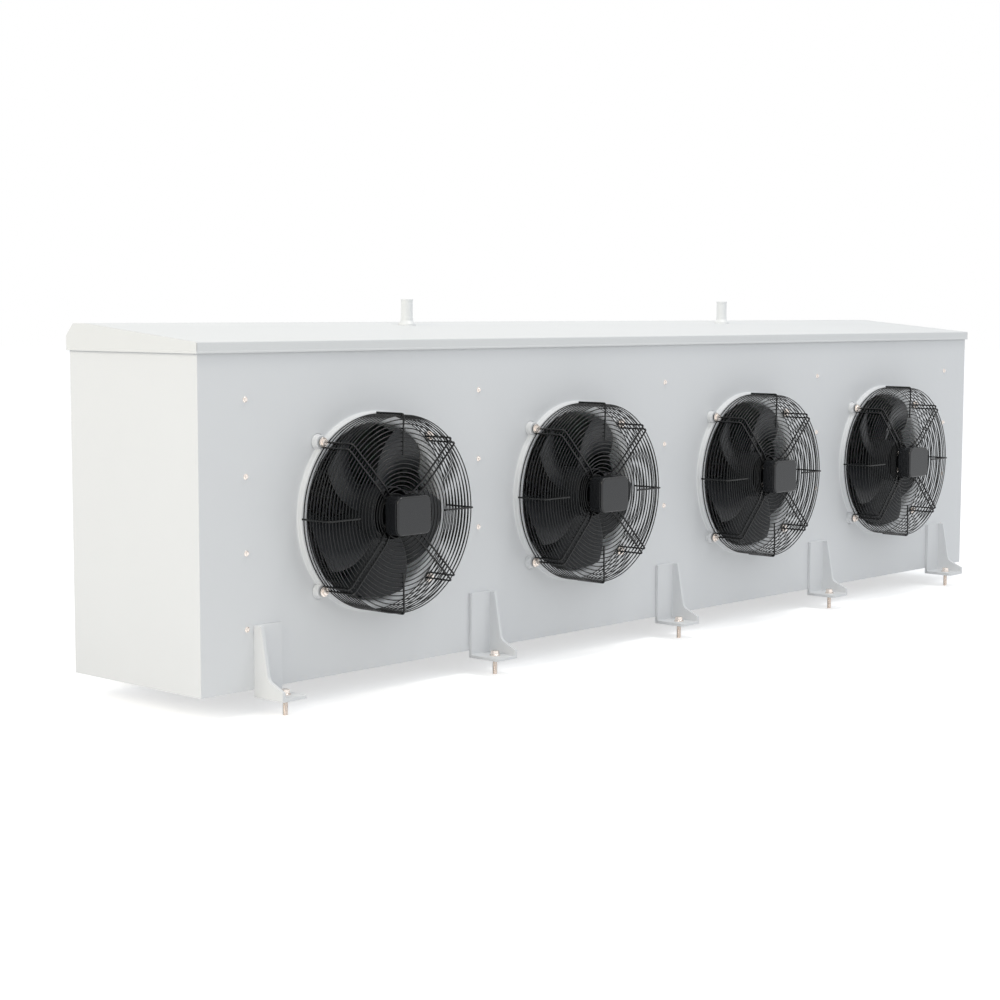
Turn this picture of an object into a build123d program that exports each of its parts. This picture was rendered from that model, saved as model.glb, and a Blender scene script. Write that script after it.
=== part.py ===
"""Four-fan evaporator unit, standing on its suspension bolts with the drip tray uppermost.

The frame's origin is at the middle of the base, on the plane of the bolt tips. +X runs along
the casing, +Y from the fan side to the coil side, +Z up to the tray.
"""

from build123d import *
import os
from math import cos, radians, sin, sqrt

os.makedirs("parts", exist_ok=True)

# Casing
casing_length = 3600.0
casing_depth = 512.0
casing_height = 830.0
sheet = 2.0
wall_lap = 20.0
flange_width = 30.0
front_upstand = 25.0
rear_upstand = 60.0

# Bays between the partitions
bay_pitch = 827.0

# Drip tray
tray_overhang = 6.5
tray_front_lip = 27.5
tray_rear_lip = 38.0
tray_ridge_rise = 69.0
tray_ridge_front = 437.0
tray_ridge_rear = 488.0
tray_hem_height = 5.0
tray_hem_proud = 0.8

# Drain outlets
drain_spacing = 1516.0
drain_depth = 348.0
drain_radius = 17.0
drain_bore = 14.0
drain_rise = 74.0
drain_flare_radius = 25.0
drain_flare_rise = 13.0
drain_flare_foot = 4.0

# Fans
fan_pitch = 805.0
fan_height = 413.0
collar_radius = 268.0
collar_rise = 16.0
nozzle_bore = 231.0
nozzle_mouth = 14.0
nozzle_depth = 45.0
nozzle_gap = 3.0
boss_radius = 18.0
boss_rise = 16.3

# Guard
arm_wire = 2.5
ring_wire = 1.5
side_weld = 2.1
front_weld = 0.5
spoke_radius = 258.0
spoke_base_rise = 20.3
front_rise = 117.0
spoke_inner = 152.0
side_ring_count = 1
side_ring_pitch = 48.0
base_ring_rise = 19.5
front_ring_count = 4
front_ring_pitch = 52.0
front_ring_outer = 249.0
ring_sides = 16
ear_circle = 268.0
arm_gap = 18.0
arm_bend_radius = 104.0
arm_knee_radius = 72.0
arm_knee_gap = 1.0
arm_foot_radius = 52.0
arm_end_radius = 35.0

# Motor
motor_bolt_circle = 39.0
motor_flange_radius = 58.0
motor_flange_sides = 8
motor_flange_rise = 86.0
motor_flange_thickness = 8.0
motor_neck_radius = 26.0
motor_neck_rise = 108.0
stator_radius = 52.0
stator_inner_rise = 20.0
shaft_radius = 8.0
shaft_engagement = 50.0
shaft_end_gap = 2.0
shaft_clearance = 0.05

# Impeller
rotor_radius = 70.0
rotor_wall = 4.0
rotor_front_rise = 75.0
rotor_rear = 36.0
rotor_plate_thickness = 6.0
blade_count = 5
blade_tip_radius = 223.0
blade_thickness = 3.0
blade_root_radius = 56.0
blade_middle_radius = 145.0
blade_trim = 3.0
blade_root_chord = 92.0
blade_middle_chord = 150.0
blade_tip_chord = 205.0
blade_root_pitch = 38.0
blade_middle_pitch = 27.0
blade_tip_pitch = 19.0
blade_camber = 0.09
blade_facets = 4
blade_middle_sweep = 7.0
blade_tip_sweep = 22.0

# Terminal box
box_width = 120.0
box_height = 100.0
box_corner = 19.0
box_body_depth = 41.0
lid_depth = 8.0
lid_edge = 2.5

# Brackets
bracket_outer_offset = 1588.0
bracket_width = 83.0
bracket_plate = 10.0
bracket_foot_thickness = 9.0
bracket_top = 160.0
bracket_drop = 19.5
bracket_reach = 106.0
gusset_top_depth = 27.0
gusset_waist_depth = 52.0
gusset_waist_height = 28.0
gusset_waist_curve = 22.0
gusset_nose_height = 5.0
bracket_foot_bevel = 6.0
bracket_bolt_side = 45.5
bracket_bolt_reach = 63.0

# Fasteners
shank_sides = 8
head_sides = 6
bracket_bolt_radius = 7.0
bracket_shank_radius = 7.3
bracket_shank_below = 1.0
bracket_bolt_length = 51.5
bracket_bolt_head = 12.1
bracket_bolt_head_height = 14.0
guard_bolt_radius = 5.0
guard_bolt_length = 30.0
guard_bolt_head = 9.5
guard_bolt_head_height = 8.0
motor_bolt_radius = 4.0
motor_bolt_length = 12.0
motor_bolt_head = 9.5
motor_bolt_head_height = 6.0
panel_screw_radius = 3.0
panel_screw_length = 12.0
panel_screw_head = 7.1
panel_screw_head_height = 5.0
hole_clearance = 0.4
hole_end_gap = 1.0
screw_rows = 4
screw_row_pitch = 188.3
screw_middle_height = 434.4

# Coil
fins_per_bay = 5
fin_thickness = 6.0
fin_depth = 210.0
fin_rear_gap = 12.0
fin_bottom = 66.0
fin_top = 826.0
tube_radius = 6.0
tube_rows = 2
tube_passes = 6
tube_sides = 6
tube_pass_pitch = 120.0
tube_row_pitch = 100.0
bend_reach = 45.0
bend_corner = 12.0
header_gap = 30.0
suction_radius = 17.5
liquid_radius = 11.0
header_step = 3.0
header_wall = 2.0
header_nose = 3.0
connection_reach = 60.0

# Positions that follow from the driving dimensions
lid_rise = motor_neck_rise + box_body_depth + lid_depth
front_y = (lid_rise - casing_depth - bracket_reach) / 2
rear_y = front_y + casing_depth
base_z = bracket_drop - bracket_foot_thickness + bracket_bolt_length
wall_top = casing_height + wall_lap
half_length = casing_length / 2
partition_columns = [bay_pitch * step for step in (-2, -1, 0, 1, 2)]
fan_columns = [side * bay_pitch + shift * fan_pitch / 2 for side in (-1, 1) for shift in (-1, 1)]
bracket_columns = [-bracket_outer_offset, -bay_pitch, 0, bay_pitch, bracket_outer_offset]
screw_heights = [
    screw_middle_height + screw_row_pitch * (row - (screw_rows - 1) / 2) for row in range(screw_rows)
]
screw_points = [
    (x, z)
    for x in partition_columns
    for z in screw_heights
    if z > bracket_top or abs(x) > bracket_outer_offset
]
web_sides = [-1, -1, 1, 1, 1]
web_outer = [x + side * flange_width / 2 for x, side in zip(partition_columns, web_sides)]
web_inner = [x - side * sheet for x, side in zip(web_outer, web_sides)]
tray_slope = (tray_ridge_rise - tray_front_lip) / (tray_ridge_front + tray_overhang)
tray_drop = sheet * sqrt(1 + tray_slope**2)
fin_rear = casing_depth - fin_rear_gap
fin_middle = fin_rear - fin_depth / 2
tube_depths = [fin_middle + tube_row_pitch * (row - (tube_rows - 1) / 2) for row in range(tube_rows)]
tube_heights = [
    (fin_bottom + fin_top) / 2 + tube_pass_pitch * (step - (tube_passes - 1) / 2)
    for step in range(tube_passes)
]
tube_points = [(depth, height) for depth in tube_depths for height in tube_heights]
header_x = web_outer[-1] + header_gap + suction_radius
ear_rise = boss_rise + arm_wire


def tray_height(depth):
    """Height of the tray's sloping outer face above the casing's lower edge, at a depth."""
    return casing_height + tray_front_lip + tray_slope * (depth + tray_overhang)


# Planes: the front one looks out of the fan side, and each fan's stands on it at the fan's axis
front_plane = Plane(origin=(0, front_y, base_z), x_dir=(1, 0, 0), z_dir=(0, -1, 0))
rear_plane = Plane(origin=(0, rear_y, base_z), x_dir=(-1, 0, 0), z_dir=(0, 1, 0))
floor_plane = Plane(origin=(0, front_y, base_z))
end_plane = Plane(origin=(0, front_y, base_z), x_dir=(0, 1, 0), z_dir=(1, 0, 0))
fan_planes = [
    Plane(origin=(column, front_y, base_z + fan_height), x_dir=(1, 0, 0), z_dir=(0, -1, 0))
    for column in fan_columns
]
corner_angles = [45, 135, 225, 315]


def ring_points(radius):
    """The four points at a radius on the diagonals of a fan, in the fan's plane."""
    return [(radius * cos(radians(angle)), radius * sin(radians(angle))) for angle in corner_angles]


def crescent_points(chord, middle):
    """Corners of a blade's section: two flat arches over the chord, the blade's thickness apart."""
    shares = [2 * step / blade_facets - 1 for step in range(blade_facets + 1)]
    over = [(share * chord / 2, (middle + blade_thickness / 2) * (1 - share**2)) for share in shares]
    under = [
        (share * chord / 2, (middle - blade_thickness / 2) * (1 - share**2)) for share in shares[-2:0:-1]
    ]
    return over + under


def turned_plane(plane, angle):
    """A fan's plane with its first direction turned by an angle about the fan's axis."""
    return Plane(plane.origin, x_dir=(cos(radians(angle)), 0, sin(radians(angle))), z_dir=plane.z_dir)


# Front panel: a flat sheet with a round hole for each nozzle, and holes for its screws and the guard bolts
with BuildPart() as front_panel:
    with BuildSketch(front_plane):
        Rectangle(casing_length, wall_top, align=(Align.CENTER, Align.MIN))
        for column in fan_columns:
            with Locations((column, fan_height)):
                Circle(nozzle_bore + sheet + nozzle_gap, mode=Mode.SUBTRACT)
                with Locations(*ring_points(ear_circle)):
                    RegularPolygon(guard_bolt_radius + hole_clearance, shank_sides, mode=Mode.SUBTRACT)
        with Locations(*screw_points):
            RegularPolygon(panel_screw_radius + hole_clearance, shank_sides, mode=Mode.SUBTRACT)
    extrude(amount=-sheet)
front_panel.part.label = "front_panel"
export_step(front_panel.part, "parts/front_panel.step")

# Nozzle rings: pressed dishes bolted on the front panel, each with a raised collar, a bell mouth and
# four bolt bosses
for number, fan_plane in enumerate(fan_planes, start=1):
    with BuildPart() as nozzle_ring:
        with BuildSketch(fan_plane):
            with Locations(*ring_points(ear_circle)):
                Circle(boss_radius)
            Circle(collar_radius - sheet, mode=Mode.SUBTRACT)
        extrude(amount=boss_rise)
        with BuildSketch(Plane(fan_plane.origin, x_dir=(1, 0, 0), z_dir=(0, 0, 1))):
            with BuildLine():
                Polyline(
                    (collar_radius, 0),
                    (collar_radius, -collar_rise),
                    (nozzle_bore + nozzle_mouth, -collar_rise),
                    (nozzle_bore, nozzle_mouth - collar_rise),
                    (nozzle_bore, nozzle_depth),
                    (nozzle_bore + sheet, nozzle_depth),
                    (nozzle_bore + sheet, nozzle_mouth - collar_rise + sheet),
                    (nozzle_bore + nozzle_mouth, sheet - collar_rise),
                    (collar_radius - sheet, sheet - collar_rise),
                    (collar_radius - sheet, 0),
                    close=True,
                )
            make_face()
        revolve(axis=Axis(fan_plane.origin, (0, 1, 0)))
        with BuildSketch(fan_plane.offset(boss_rise)):
            with Locations(*ring_points(ear_circle)):
                RegularPolygon(guard_bolt_radius + hole_clearance, shank_sides)
        extrude(amount=-boss_rise, mode=Mode.SUBTRACT)
    nozzle_ring.part.label = f"nozzle_ring_{number}"
    export_step(nozzle_ring.part, f"parts/nozzle_ring_{number}.step")

# Base panel: the mounting side, with an upstand along the fans and a taller one along the coil
with BuildPart() as base_panel:
    with BuildSketch(end_plane):
        with BuildLine():
            Polyline(
                (sheet, 0),
                (casing_depth, 0),
                (casing_depth, rear_upstand),
                (casing_depth - sheet, rear_upstand),
                (casing_depth - sheet, sheet),
                (2 * sheet, sheet),
                (2 * sheet, front_upstand),
                (sheet, front_upstand),
                close=True,
            )
        make_face()
    extrude(amount=half_length - sheet, both=True)
base_panel.part.label = "base_panel"
export_step(base_panel.part, "parts/base_panel.step")

# End covers: a side wall, a flange behind the front panel and a wide return beside the coil
for side, label in ((-1, "left_end_cover"), (1, "right_end_cover")):
    return_start = side * web_outer[-1]
    inner_x = side * (half_length - sheet)
    with BuildPart() as end_cover:
        with BuildSketch(floor_plane):
            with Locations((side * (half_length - sheet / 2), (casing_depth + sheet) / 2)):
                Rectangle(sheet, casing_depth - sheet)
        extrude(amount=wall_top)
        with BuildSketch(floor_plane.offset(front_upstand)):
            with Locations((inner_x - side * flange_width / 2, sheet + sheet / 2)):
                Rectangle(flange_width, sheet)
        extrude(amount=wall_top - front_upstand)
        with BuildSketch(floor_plane.offset(rear_upstand)):
            with Locations(((return_start + inner_x) / 2, casing_depth - sheet / 2)):
                Rectangle(abs(inner_x - return_start), sheet)
        extrude(amount=wall_top - rear_upstand)
        if side > 0:
            with BuildSketch(rear_plane):
                with Locations((-header_x, tube_heights[0])):
                    Circle(liquid_radius + header_step + hole_clearance)
                with Locations((-header_x, tube_heights[-1])):
                    Circle(suction_radius + header_step + hole_clearance)
            extrude(amount=-sheet, mode=Mode.SUBTRACT)
    end_cover.part.label = label
    export_step(end_cover.part, f"parts/{label}.step")

# Drip tray: a folded sheet with a ridge, closed gables and a hemmed lower edge
tray_rear = casing_depth + tray_overhang
with BuildPart() as drip_tray:
    with BuildSketch(end_plane):
        with BuildLine():
            Polyline(
                (-tray_overhang, casing_height),
                (-tray_overhang, casing_height + tray_front_lip),
                (tray_ridge_front, casing_height + tray_ridge_rise),
                (tray_ridge_rear, casing_height + tray_ridge_rise),
                (tray_rear, casing_height + tray_rear_lip),
                (tray_rear, casing_height),
                close=True,
            )
        make_face()
    extrude(amount=half_length + tray_overhang, both=True)
    offset(amount=-sheet, openings=drip_tray.faces().sort_by(Axis.Z)[0])
    with BuildSketch(floor_plane.offset(casing_height)):
        with Locations((0, casing_depth / 2)):
            Rectangle(
                casing_length + 2 * (tray_overhang + tray_hem_proud),
                casing_depth + 2 * (tray_overhang + tray_hem_proud),
            )
            Rectangle(
                casing_length + 2 * tray_overhang - sheet,
                casing_depth + 2 * tray_overhang - sheet,
                mode=Mode.SUBTRACT,
            )
    extrude(amount=tray_hem_height)
    with BuildSketch(floor_plane.offset(casing_height)):
        with Locations((-drain_spacing / 2, drain_depth), (drain_spacing / 2, drain_depth)):
            Circle(drain_bore)
    extrude(amount=tray_ridge_rise, mode=Mode.SUBTRACT)
drip_tray.part.label = "drip_tray"
export_step(drip_tray.part, "parts/drip_tray.step")

# Drain outlets: a pipe stub with a flared foot, cut to the tray's slope
slope_plane = Plane(
    origin=(0, front_y - tray_overhang, base_z + casing_height + tray_front_lip),
    x_dir=(1, 0, 0),
    z_dir=(0, -tray_slope, 1),
)
for side, label in ((-1, "left_drain_outlet"), (1, "right_drain_outlet")):
    drain_foot = base_z + tray_height(drain_depth)
    drain_origin = (side * drain_spacing / 2, front_y + drain_depth, drain_foot)
    with BuildPart() as drain_outlet:
        with BuildSketch(Plane(drain_origin, x_dir=(1, 0, 0), z_dir=(0, -1, 0))):
            with BuildLine():
                Polyline(
                    (drain_bore, -drain_flare_rise),
                    (drain_flare_radius, -drain_flare_rise),
                    (drain_flare_radius, drain_flare_foot),
                    (drain_radius, drain_flare_rise),
                    (drain_radius, drain_rise),
                    (drain_bore, drain_rise),
                    close=True,
                )
            make_face()
        revolve(axis=Axis(drain_origin, (0, 0, 1)))
        split(bisect_by=slope_plane)
    drain_outlet.part.label = label
    export_step(drain_outlet.part, f"parts/{label}.step")

# Tube sheets and partitions: webs across the casing with flanges at the front and the rear
partition_labels = [
    "left_tube_sheet",
    "left_partition",
    "middle_partition",
    "right_partition",
    "right_tube_sheet",
]
for column, outer_x, inner_x, label in zip(partition_columns, web_outer, web_inner, partition_labels):
    with BuildPart() as partition:
        with BuildSketch(Plane((inner_x, front_y, base_z), x_dir=(0, 1, 0), z_dir=(1, 0, 0))):
            with BuildLine():
                Polyline(
                    (2 * sheet, sheet),
                    (2 * sheet, front_upstand),
                    (sheet, front_upstand),
                    (sheet, tray_height(sheet) - tray_drop),
                    (tray_ridge_front, tray_height(tray_ridge_front) - tray_drop),
                    (casing_depth - sheet, wall_top),
                    (casing_depth - sheet, sheet),
                    close=True,
                )
            make_face()
            with Locations(*tube_points):
                RegularPolygon(tube_radius + hole_clearance, tube_sides, mode=Mode.SUBTRACT)
        extrude(amount=outer_x - inner_x)
        with BuildSketch(front_plane.offset(-sheet)):
            with Locations((column, (front_upstand + wall_top) / 2)):
                Rectangle(flange_width, wall_top - front_upstand)
            with Locations(*[point for point in screw_points if point[0] == column]):
                RegularPolygon(panel_screw_radius + hole_clearance, shank_sides, mode=Mode.SUBTRACT)
        extrude(amount=-sheet)
        with BuildSketch(rear_plane):
            with Locations((-column, (rear_upstand + wall_top) / 2)):
                Rectangle(flange_width, wall_top - rear_upstand)
        extrude(amount=-sheet)
    partition.part.label = label
    export_step(partition.part, f"parts/{label}.step")

# Coil tubes: straight runs through the fins and partitions, from one tube sheet to the other
with BuildPart() as coil_tubes:
    with BuildSketch(Plane((web_inner[0], front_y, base_z), x_dir=(0, 1, 0), z_dir=(1, 0, 0))):
        with Locations(*tube_points):
            RegularPolygon(tube_radius, tube_sides)
    extrude(amount=web_inner[-1] - web_inner[0])
coil_tubes.part.label = "coil_tubes"
export_step(coil_tubes.part, "parts/coil_tubes.step")

# Fin packs: in each bay, fins pressed on the tubes and spread evenly between the webs
for bay in range(len(partition_columns) - 1):
    start_x = max(web_outer[bay], web_inner[bay])
    end_x = min(web_outer[bay + 1], web_inner[bay + 1])
    fin_pitch = (end_x - start_x) / fins_per_bay
    with BuildPart() as fin_pack:
        for step in range(fins_per_bay):
            fin_x = start_x + fin_pitch * (step + 0.5) - fin_thickness / 2
            with BuildSketch(Plane((fin_x, front_y, base_z), x_dir=(0, 1, 0), z_dir=(1, 0, 0))):
                with Locations((fin_middle, (fin_bottom + fin_top) / 2)):
                    Rectangle(fin_depth, fin_top - fin_bottom)
                with Locations(*tube_points):
                    RegularPolygon(tube_radius, tube_sides, mode=Mode.SUBTRACT)
            extrude(amount=fin_thickness)
    label = f"fin_pack_{bay + 1}"
    fin_pack.part.label = label
    export_step(fin_pack.part, f"parts/{label}.step")

# Return bends: each joins one pass of a row to the next, outside a tube sheet
for side, first_pass, label in ((-1, 0, "left_return_bends"), (1, 1, "right_return_bends")):
    with BuildPart() as return_bends:
        for depth in tube_depths:
            for height in tube_heights[first_pass : tube_passes - 1 : 2]:
                foot_x = side * (web_outer[-1] - sheet)
                turn_x = side * (web_outer[-1] + bend_reach)
                neck_x = turn_x - side * bend_corner
                tube_y = front_y + depth
                low_z = base_z + height
                high_z = low_z + tube_pass_pitch
                with BuildLine() as bend_path:
                    Polyline(
                        (foot_x, tube_y, low_z),
                        (neck_x, tube_y, low_z),
                        (turn_x, tube_y, low_z + bend_corner),
                        (turn_x, tube_y, high_z - bend_corner),
                        (neck_x, tube_y, high_z),
                        (foot_x, tube_y, high_z),
                    )
                with BuildSketch(Plane((foot_x, tube_y, low_z), x_dir=(0, 1, 0), z_dir=(side, 0, 0))):
                    RegularPolygon(tube_radius, tube_sides)
                sweep(path=bend_path.line, transition=Transition.RIGHT)
    return_bends.part.label = label
    export_step(return_bends.part, f"parts/{label}.step")

# Headers: each gathers the rows at one height and leaves through the rear of the right end
for radius, height, label in (
    (liquid_radius, tube_heights[0], "liquid_header"),
    (suction_radius, tube_heights[-1], "suction_header"),
):
    front_depth = tube_depths[0] - 2 * suction_radius
    header_length = casing_depth + header_nose - front_depth
    with BuildPart() as header:
        header_end = Plane(
            (header_x, front_y + front_depth, base_z + height), x_dir=(1, 0, 0), z_dir=(0, 1, 0)
        )
        with BuildSketch(header_end):
            Circle(radius + header_step)
        extrude(amount=header_length)
        for depth in tube_depths:
            leg_foot = (web_outer[-1] - sheet, front_y + depth, base_z + height)
            with BuildSketch(Plane(leg_foot, x_dir=(0, 1, 0), z_dir=(1, 0, 0))):
                RegularPolygon(tube_radius, tube_sides)
            extrude(amount=header_x - web_outer[-1] + sheet - radius)
        with BuildSketch(header_end.offset(header_length)):
            Circle(radius)
        extrude(amount=connection_reach)
        with BuildSketch(header_end.offset(header_wall)):
            Circle(radius - header_wall)
        extrude(amount=header_length + connection_reach, mode=Mode.SUBTRACT)
    header.part.label = label
    export_step(header.part, f"parts/{label}.step")

# Suspension brackets: a back plate on the casing, a foot for the bolt and a waisted gusset
for face, face_y, outward in (("front", front_y, -1), ("rear", rear_y, 1)):
    for number, column in enumerate(bracket_columns, start=1):
        gusset_side = -1 if number == 1 else 1
        outer_x = column + gusset_side * bracket_bolt_side
        free_x = outer_x - gusset_side * bracket_width
        nose_y = face_y + outward * bracket_reach
        with BuildPart() as bracket:
            with BuildSketch(Plane((0, face_y, base_z), x_dir=(-outward, 0, 0), z_dir=(0, outward, 0))):
                with Locations((-outward * (outer_x + free_x) / 2, (bracket_top - bracket_drop) / 2)):
                    Rectangle(bracket_width, bracket_top + bracket_drop)
            extrude(amount=bracket_plate)
            with BuildSketch(Plane((outer_x, face_y, base_z), x_dir=(0, outward, 0), z_dir=(outward, 0, 0))):
                with BuildLine():
                    waist = FilletPolyline(
                        (bracket_reach, gusset_nose_height),
                        (gusset_waist_depth, gusset_waist_height),
                        (gusset_top_depth, bracket_top),
                        radius=gusset_waist_curve,
                    )
                    Polyline(
                        waist @ 1,
                        (0, bracket_top),
                        (0, -bracket_drop),
                        (bracket_reach, -bracket_drop),
                        waist @ 0,
                    )
                make_face()
            extrude(amount=-gusset_side * outward * bracket_plate)
            with BuildSketch(Plane.XY.offset(base_z - bracket_drop)):
                with BuildLine():
                    Polyline(
                        (outer_x, face_y),
                        (outer_x, nose_y),
                        (free_x + gusset_side * bracket_foot_bevel, nose_y),
                        (free_x, nose_y - outward * bracket_foot_bevel),
                        (free_x, face_y),
                        close=True,
                    )
                make_face()
            extrude(amount=bracket_foot_thickness)
            with BuildSketch(Plane.XY.offset(base_z - bracket_drop)):
                with Locations((column, face_y + outward * bracket_bolt_reach)):
                    Circle(bracket_shank_radius + hole_clearance)
            extrude(amount=bracket_foot_thickness, mode=Mode.SUBTRACT)
        label = f"{face}_bracket_{number}"
        bracket.part.label = label
        export_step(bracket.part, f"parts/{label}.step")

# Bracket bolts: hexagon bolts, head up on the feet, whose tips the unit stands on
bracket_bolt_points = [
    (column, face_y + outward * bracket_bolt_reach)
    for face_y, outward in ((front_y, -1), (rear_y, 1))
    for column in bracket_columns
]
bracket_thread_length = base_z - bracket_drop - bracket_shank_below
with BuildPart() as bracket_bolts:
    with BuildSketch():
        with Locations(*bracket_bolt_points):
            Circle(bracket_bolt_radius)
    extrude(amount=bracket_thread_length)
    with BuildSketch(Plane.XY.offset(bracket_thread_length)):
        with Locations(*bracket_bolt_points):
            Circle(bracket_shank_radius)
    extrude(amount=bracket_bolt_length - bracket_thread_length)
    with BuildSketch(Plane.XY.offset(bracket_bolt_length)):
        with Locations(*bracket_bolt_points):
            RegularPolygon(bracket_bolt_head, head_sides)
    extrude(amount=bracket_bolt_head_height)
bracket_bolts.part.label = "bracket_bolts"
export_step(bracket_bolts.part, "parts/bracket_bolts.step")

# Panel screws: hexagon heads on the front panel, shanks through the flanges behind it
with BuildPart() as panel_screws:
    with BuildSketch(front_plane):
        with Locations(*screw_points):
            RegularPolygon(panel_screw_head, head_sides)
    extrude(amount=panel_screw_head_height)
    with BuildSketch(front_plane):
        with Locations(*screw_points):
            RegularPolygon(panel_screw_radius, shank_sides)
    extrude(amount=-panel_screw_length)
panel_screws.part.label = "panel_screws"
export_step(panel_screws.part, "parts/panel_screws.step")

# Guard bolts: through the arm loops into the bosses
with BuildPart() as guard_bolts:
    for fan_plane in fan_planes:
        with BuildSketch(fan_plane.offset(boss_rise + 2 * arm_wire)):
            with Locations(*ring_points(ear_circle)):
                RegularPolygon(guard_bolt_head, head_sides)
        extrude(amount=guard_bolt_head_height)
        with BuildSketch(fan_plane.offset(boss_rise + 2 * arm_wire)):
            with Locations(*ring_points(ear_circle)):
                RegularPolygon(guard_bolt_radius, shank_sides)
        extrude(amount=-guard_bolt_length)
guard_bolts.part.label = "guard_bolts"
export_step(guard_bolts.part, "parts/guard_bolts.step")

# Motor bolts: they clamp the ends of the guard's arms on each motor's flange
with BuildPart() as motor_bolts:
    for fan_plane in fan_planes:
        with BuildSketch(fan_plane.offset(motor_flange_rise + 2 * arm_wire)):
            with Locations(*ring_points(motor_bolt_circle)):
                RegularPolygon(motor_bolt_head, head_sides)
        extrude(amount=motor_bolt_head_height)
        with BuildSketch(fan_plane.offset(motor_flange_rise + 2 * arm_wire)):
            with Locations(*ring_points(motor_bolt_circle)):
                RegularPolygon(motor_bolt_radius, shank_sides)
        extrude(amount=-motor_bolt_length)
motor_bolts.part.label = "motor_bolts"
export_step(motor_bolts.part, "parts/motor_bolts.step")

# Fans: each has a wire guard, a motor on the guard's arms, an impeller and a terminal box
ring_outer = spoke_radius - arm_wire + side_weld
front_ring_base = front_rise - arm_wire + front_weld - 2 * ring_wire
arm_side = arm_gap / 2
foot_rise = motor_flange_rise + arm_wire
knee_rise = motor_neck_rise - arm_wire - arm_knee_gap
blade_sections = (
    (blade_root_radius, blade_root_chord, blade_root_pitch, 0),
    (blade_middle_radius, blade_middle_chord, blade_middle_pitch, blade_middle_sweep),
    (blade_tip_radius + blade_trim, blade_tip_chord, blade_tip_pitch, blade_tip_sweep),
)
for number, fan_plane in enumerate(fan_planes, start=1):
    with BuildPart() as guard:
        for level in range(side_ring_count + 1):
            with BuildSketch(fan_plane.offset(base_ring_rise - ring_wire + level * side_ring_pitch)):
                RegularPolygon(ring_outer, ring_sides)
                RegularPolygon(ring_outer - 2 * ring_wire, ring_sides, mode=Mode.SUBTRACT)
            extrude(amount=2 * ring_wire)
        for level in range(front_ring_count):
            radius = front_ring_outer - level * front_ring_pitch
            with BuildSketch(fan_plane.offset(front_ring_base)):
                RegularPolygon(radius, ring_sides)
                RegularPolygon(radius - 2 * ring_wire, ring_sides, mode=Mode.SUBTRACT)
            extrude(amount=2 * ring_wire)
        for turn in range(4):
            spoke_plane = turned_plane(fan_plane, 90 * turn)
            with BuildLine(spoke_plane) as spoke_path:
                Polyline(
                    (spoke_radius, 0, spoke_base_rise - ring_wire),
                    (spoke_radius, 0, front_rise),
                    (spoke_inner, 0, front_rise),
                )
            with BuildSketch(spoke_plane.offset(spoke_base_rise - ring_wire)):
                with Locations((spoke_radius, 0)):
                    Rectangle(2 * arm_wire, 2 * arm_wire)
            sweep(path=spoke_path.line, transition=Transition.RIGHT)
            arm_plane = turned_plane(fan_plane, 45 + 90 * turn)
            with BuildLine(arm_plane) as arm_path:
                Polyline(
                    (arm_end_radius, -arm_side, foot_rise),
                    (arm_foot_radius, -arm_side, foot_rise),
                    (arm_knee_radius, -arm_side, knee_rise),
                    (arm_bend_radius, -arm_side, front_rise),
                    (spoke_radius, -arm_side, front_rise),
                    (spoke_radius, -arm_side, ear_rise),
                    (ear_circle, -arm_side, ear_rise),
                    (ear_circle + arm_side, -arm_side / 2, ear_rise),
                    (ear_circle + arm_side, arm_side / 2, ear_rise),
                    (ear_circle, arm_side, ear_rise),
                    (spoke_radius, arm_side, ear_rise),
                    (spoke_radius, arm_side, front_rise),
                    (arm_bend_radius, arm_side, front_rise),
                    (arm_knee_radius, arm_side, knee_rise),
                    (arm_foot_radius, arm_side, foot_rise),
                    (arm_end_radius, arm_side, foot_rise),
                )
            arm_end = Plane(
                arm_plane.from_local_coords((arm_end_radius, -arm_side, foot_rise)),
                x_dir=arm_plane.y_dir,
                z_dir=arm_plane.x_dir,
            )
            with BuildSketch(arm_end):
                Rectangle(2 * arm_wire, 2 * arm_wire)
            sweep(path=arm_path.line, transition=Transition.RIGHT)
    guard.part.label = f"guard_{number}"
    export_step(guard.part, f"parts/guard_{number}.step")

    with BuildPart() as motor:
        bore_radius = shaft_radius + shaft_clearance
        bore_end = stator_inner_rise + shaft_engagement + shaft_end_gap
        with BuildSketch(Plane(fan_plane.origin, x_dir=(1, 0, 0), z_dir=(0, 0, 1))):
            with BuildLine():
                Polyline(
                    (0, -motor_neck_rise),
                    (motor_neck_radius, -motor_neck_rise),
                    (motor_neck_radius, motor_flange_thickness - motor_flange_rise),
                    (stator_radius, motor_flange_thickness - motor_flange_rise),
                    (stator_radius, -stator_inner_rise),
                    (bore_radius, -stator_inner_rise),
                    (bore_radius, -bore_end),
                    (0, -bore_end),
                    close=True,
                )
            make_face()
        revolve(axis=Axis(fan_plane.origin, (0, 1, 0)))
        with BuildSketch(fan_plane.offset(motor_flange_rise)):
            RegularPolygon(motor_flange_radius, motor_flange_sides)
        extrude(amount=-motor_flange_thickness)
        with BuildSketch(fan_plane.offset(motor_flange_rise)):
            with Locations(*ring_points(motor_bolt_circle)):
                RegularPolygon(motor_bolt_radius + hole_clearance, shank_sides)
        extrude(amount=-(motor_bolt_length - 2 * arm_wire + hole_end_gap), mode=Mode.SUBTRACT)
    motor.part.label = f"motor_{number}"
    export_step(motor.part, f"parts/motor_{number}.step")

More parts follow.
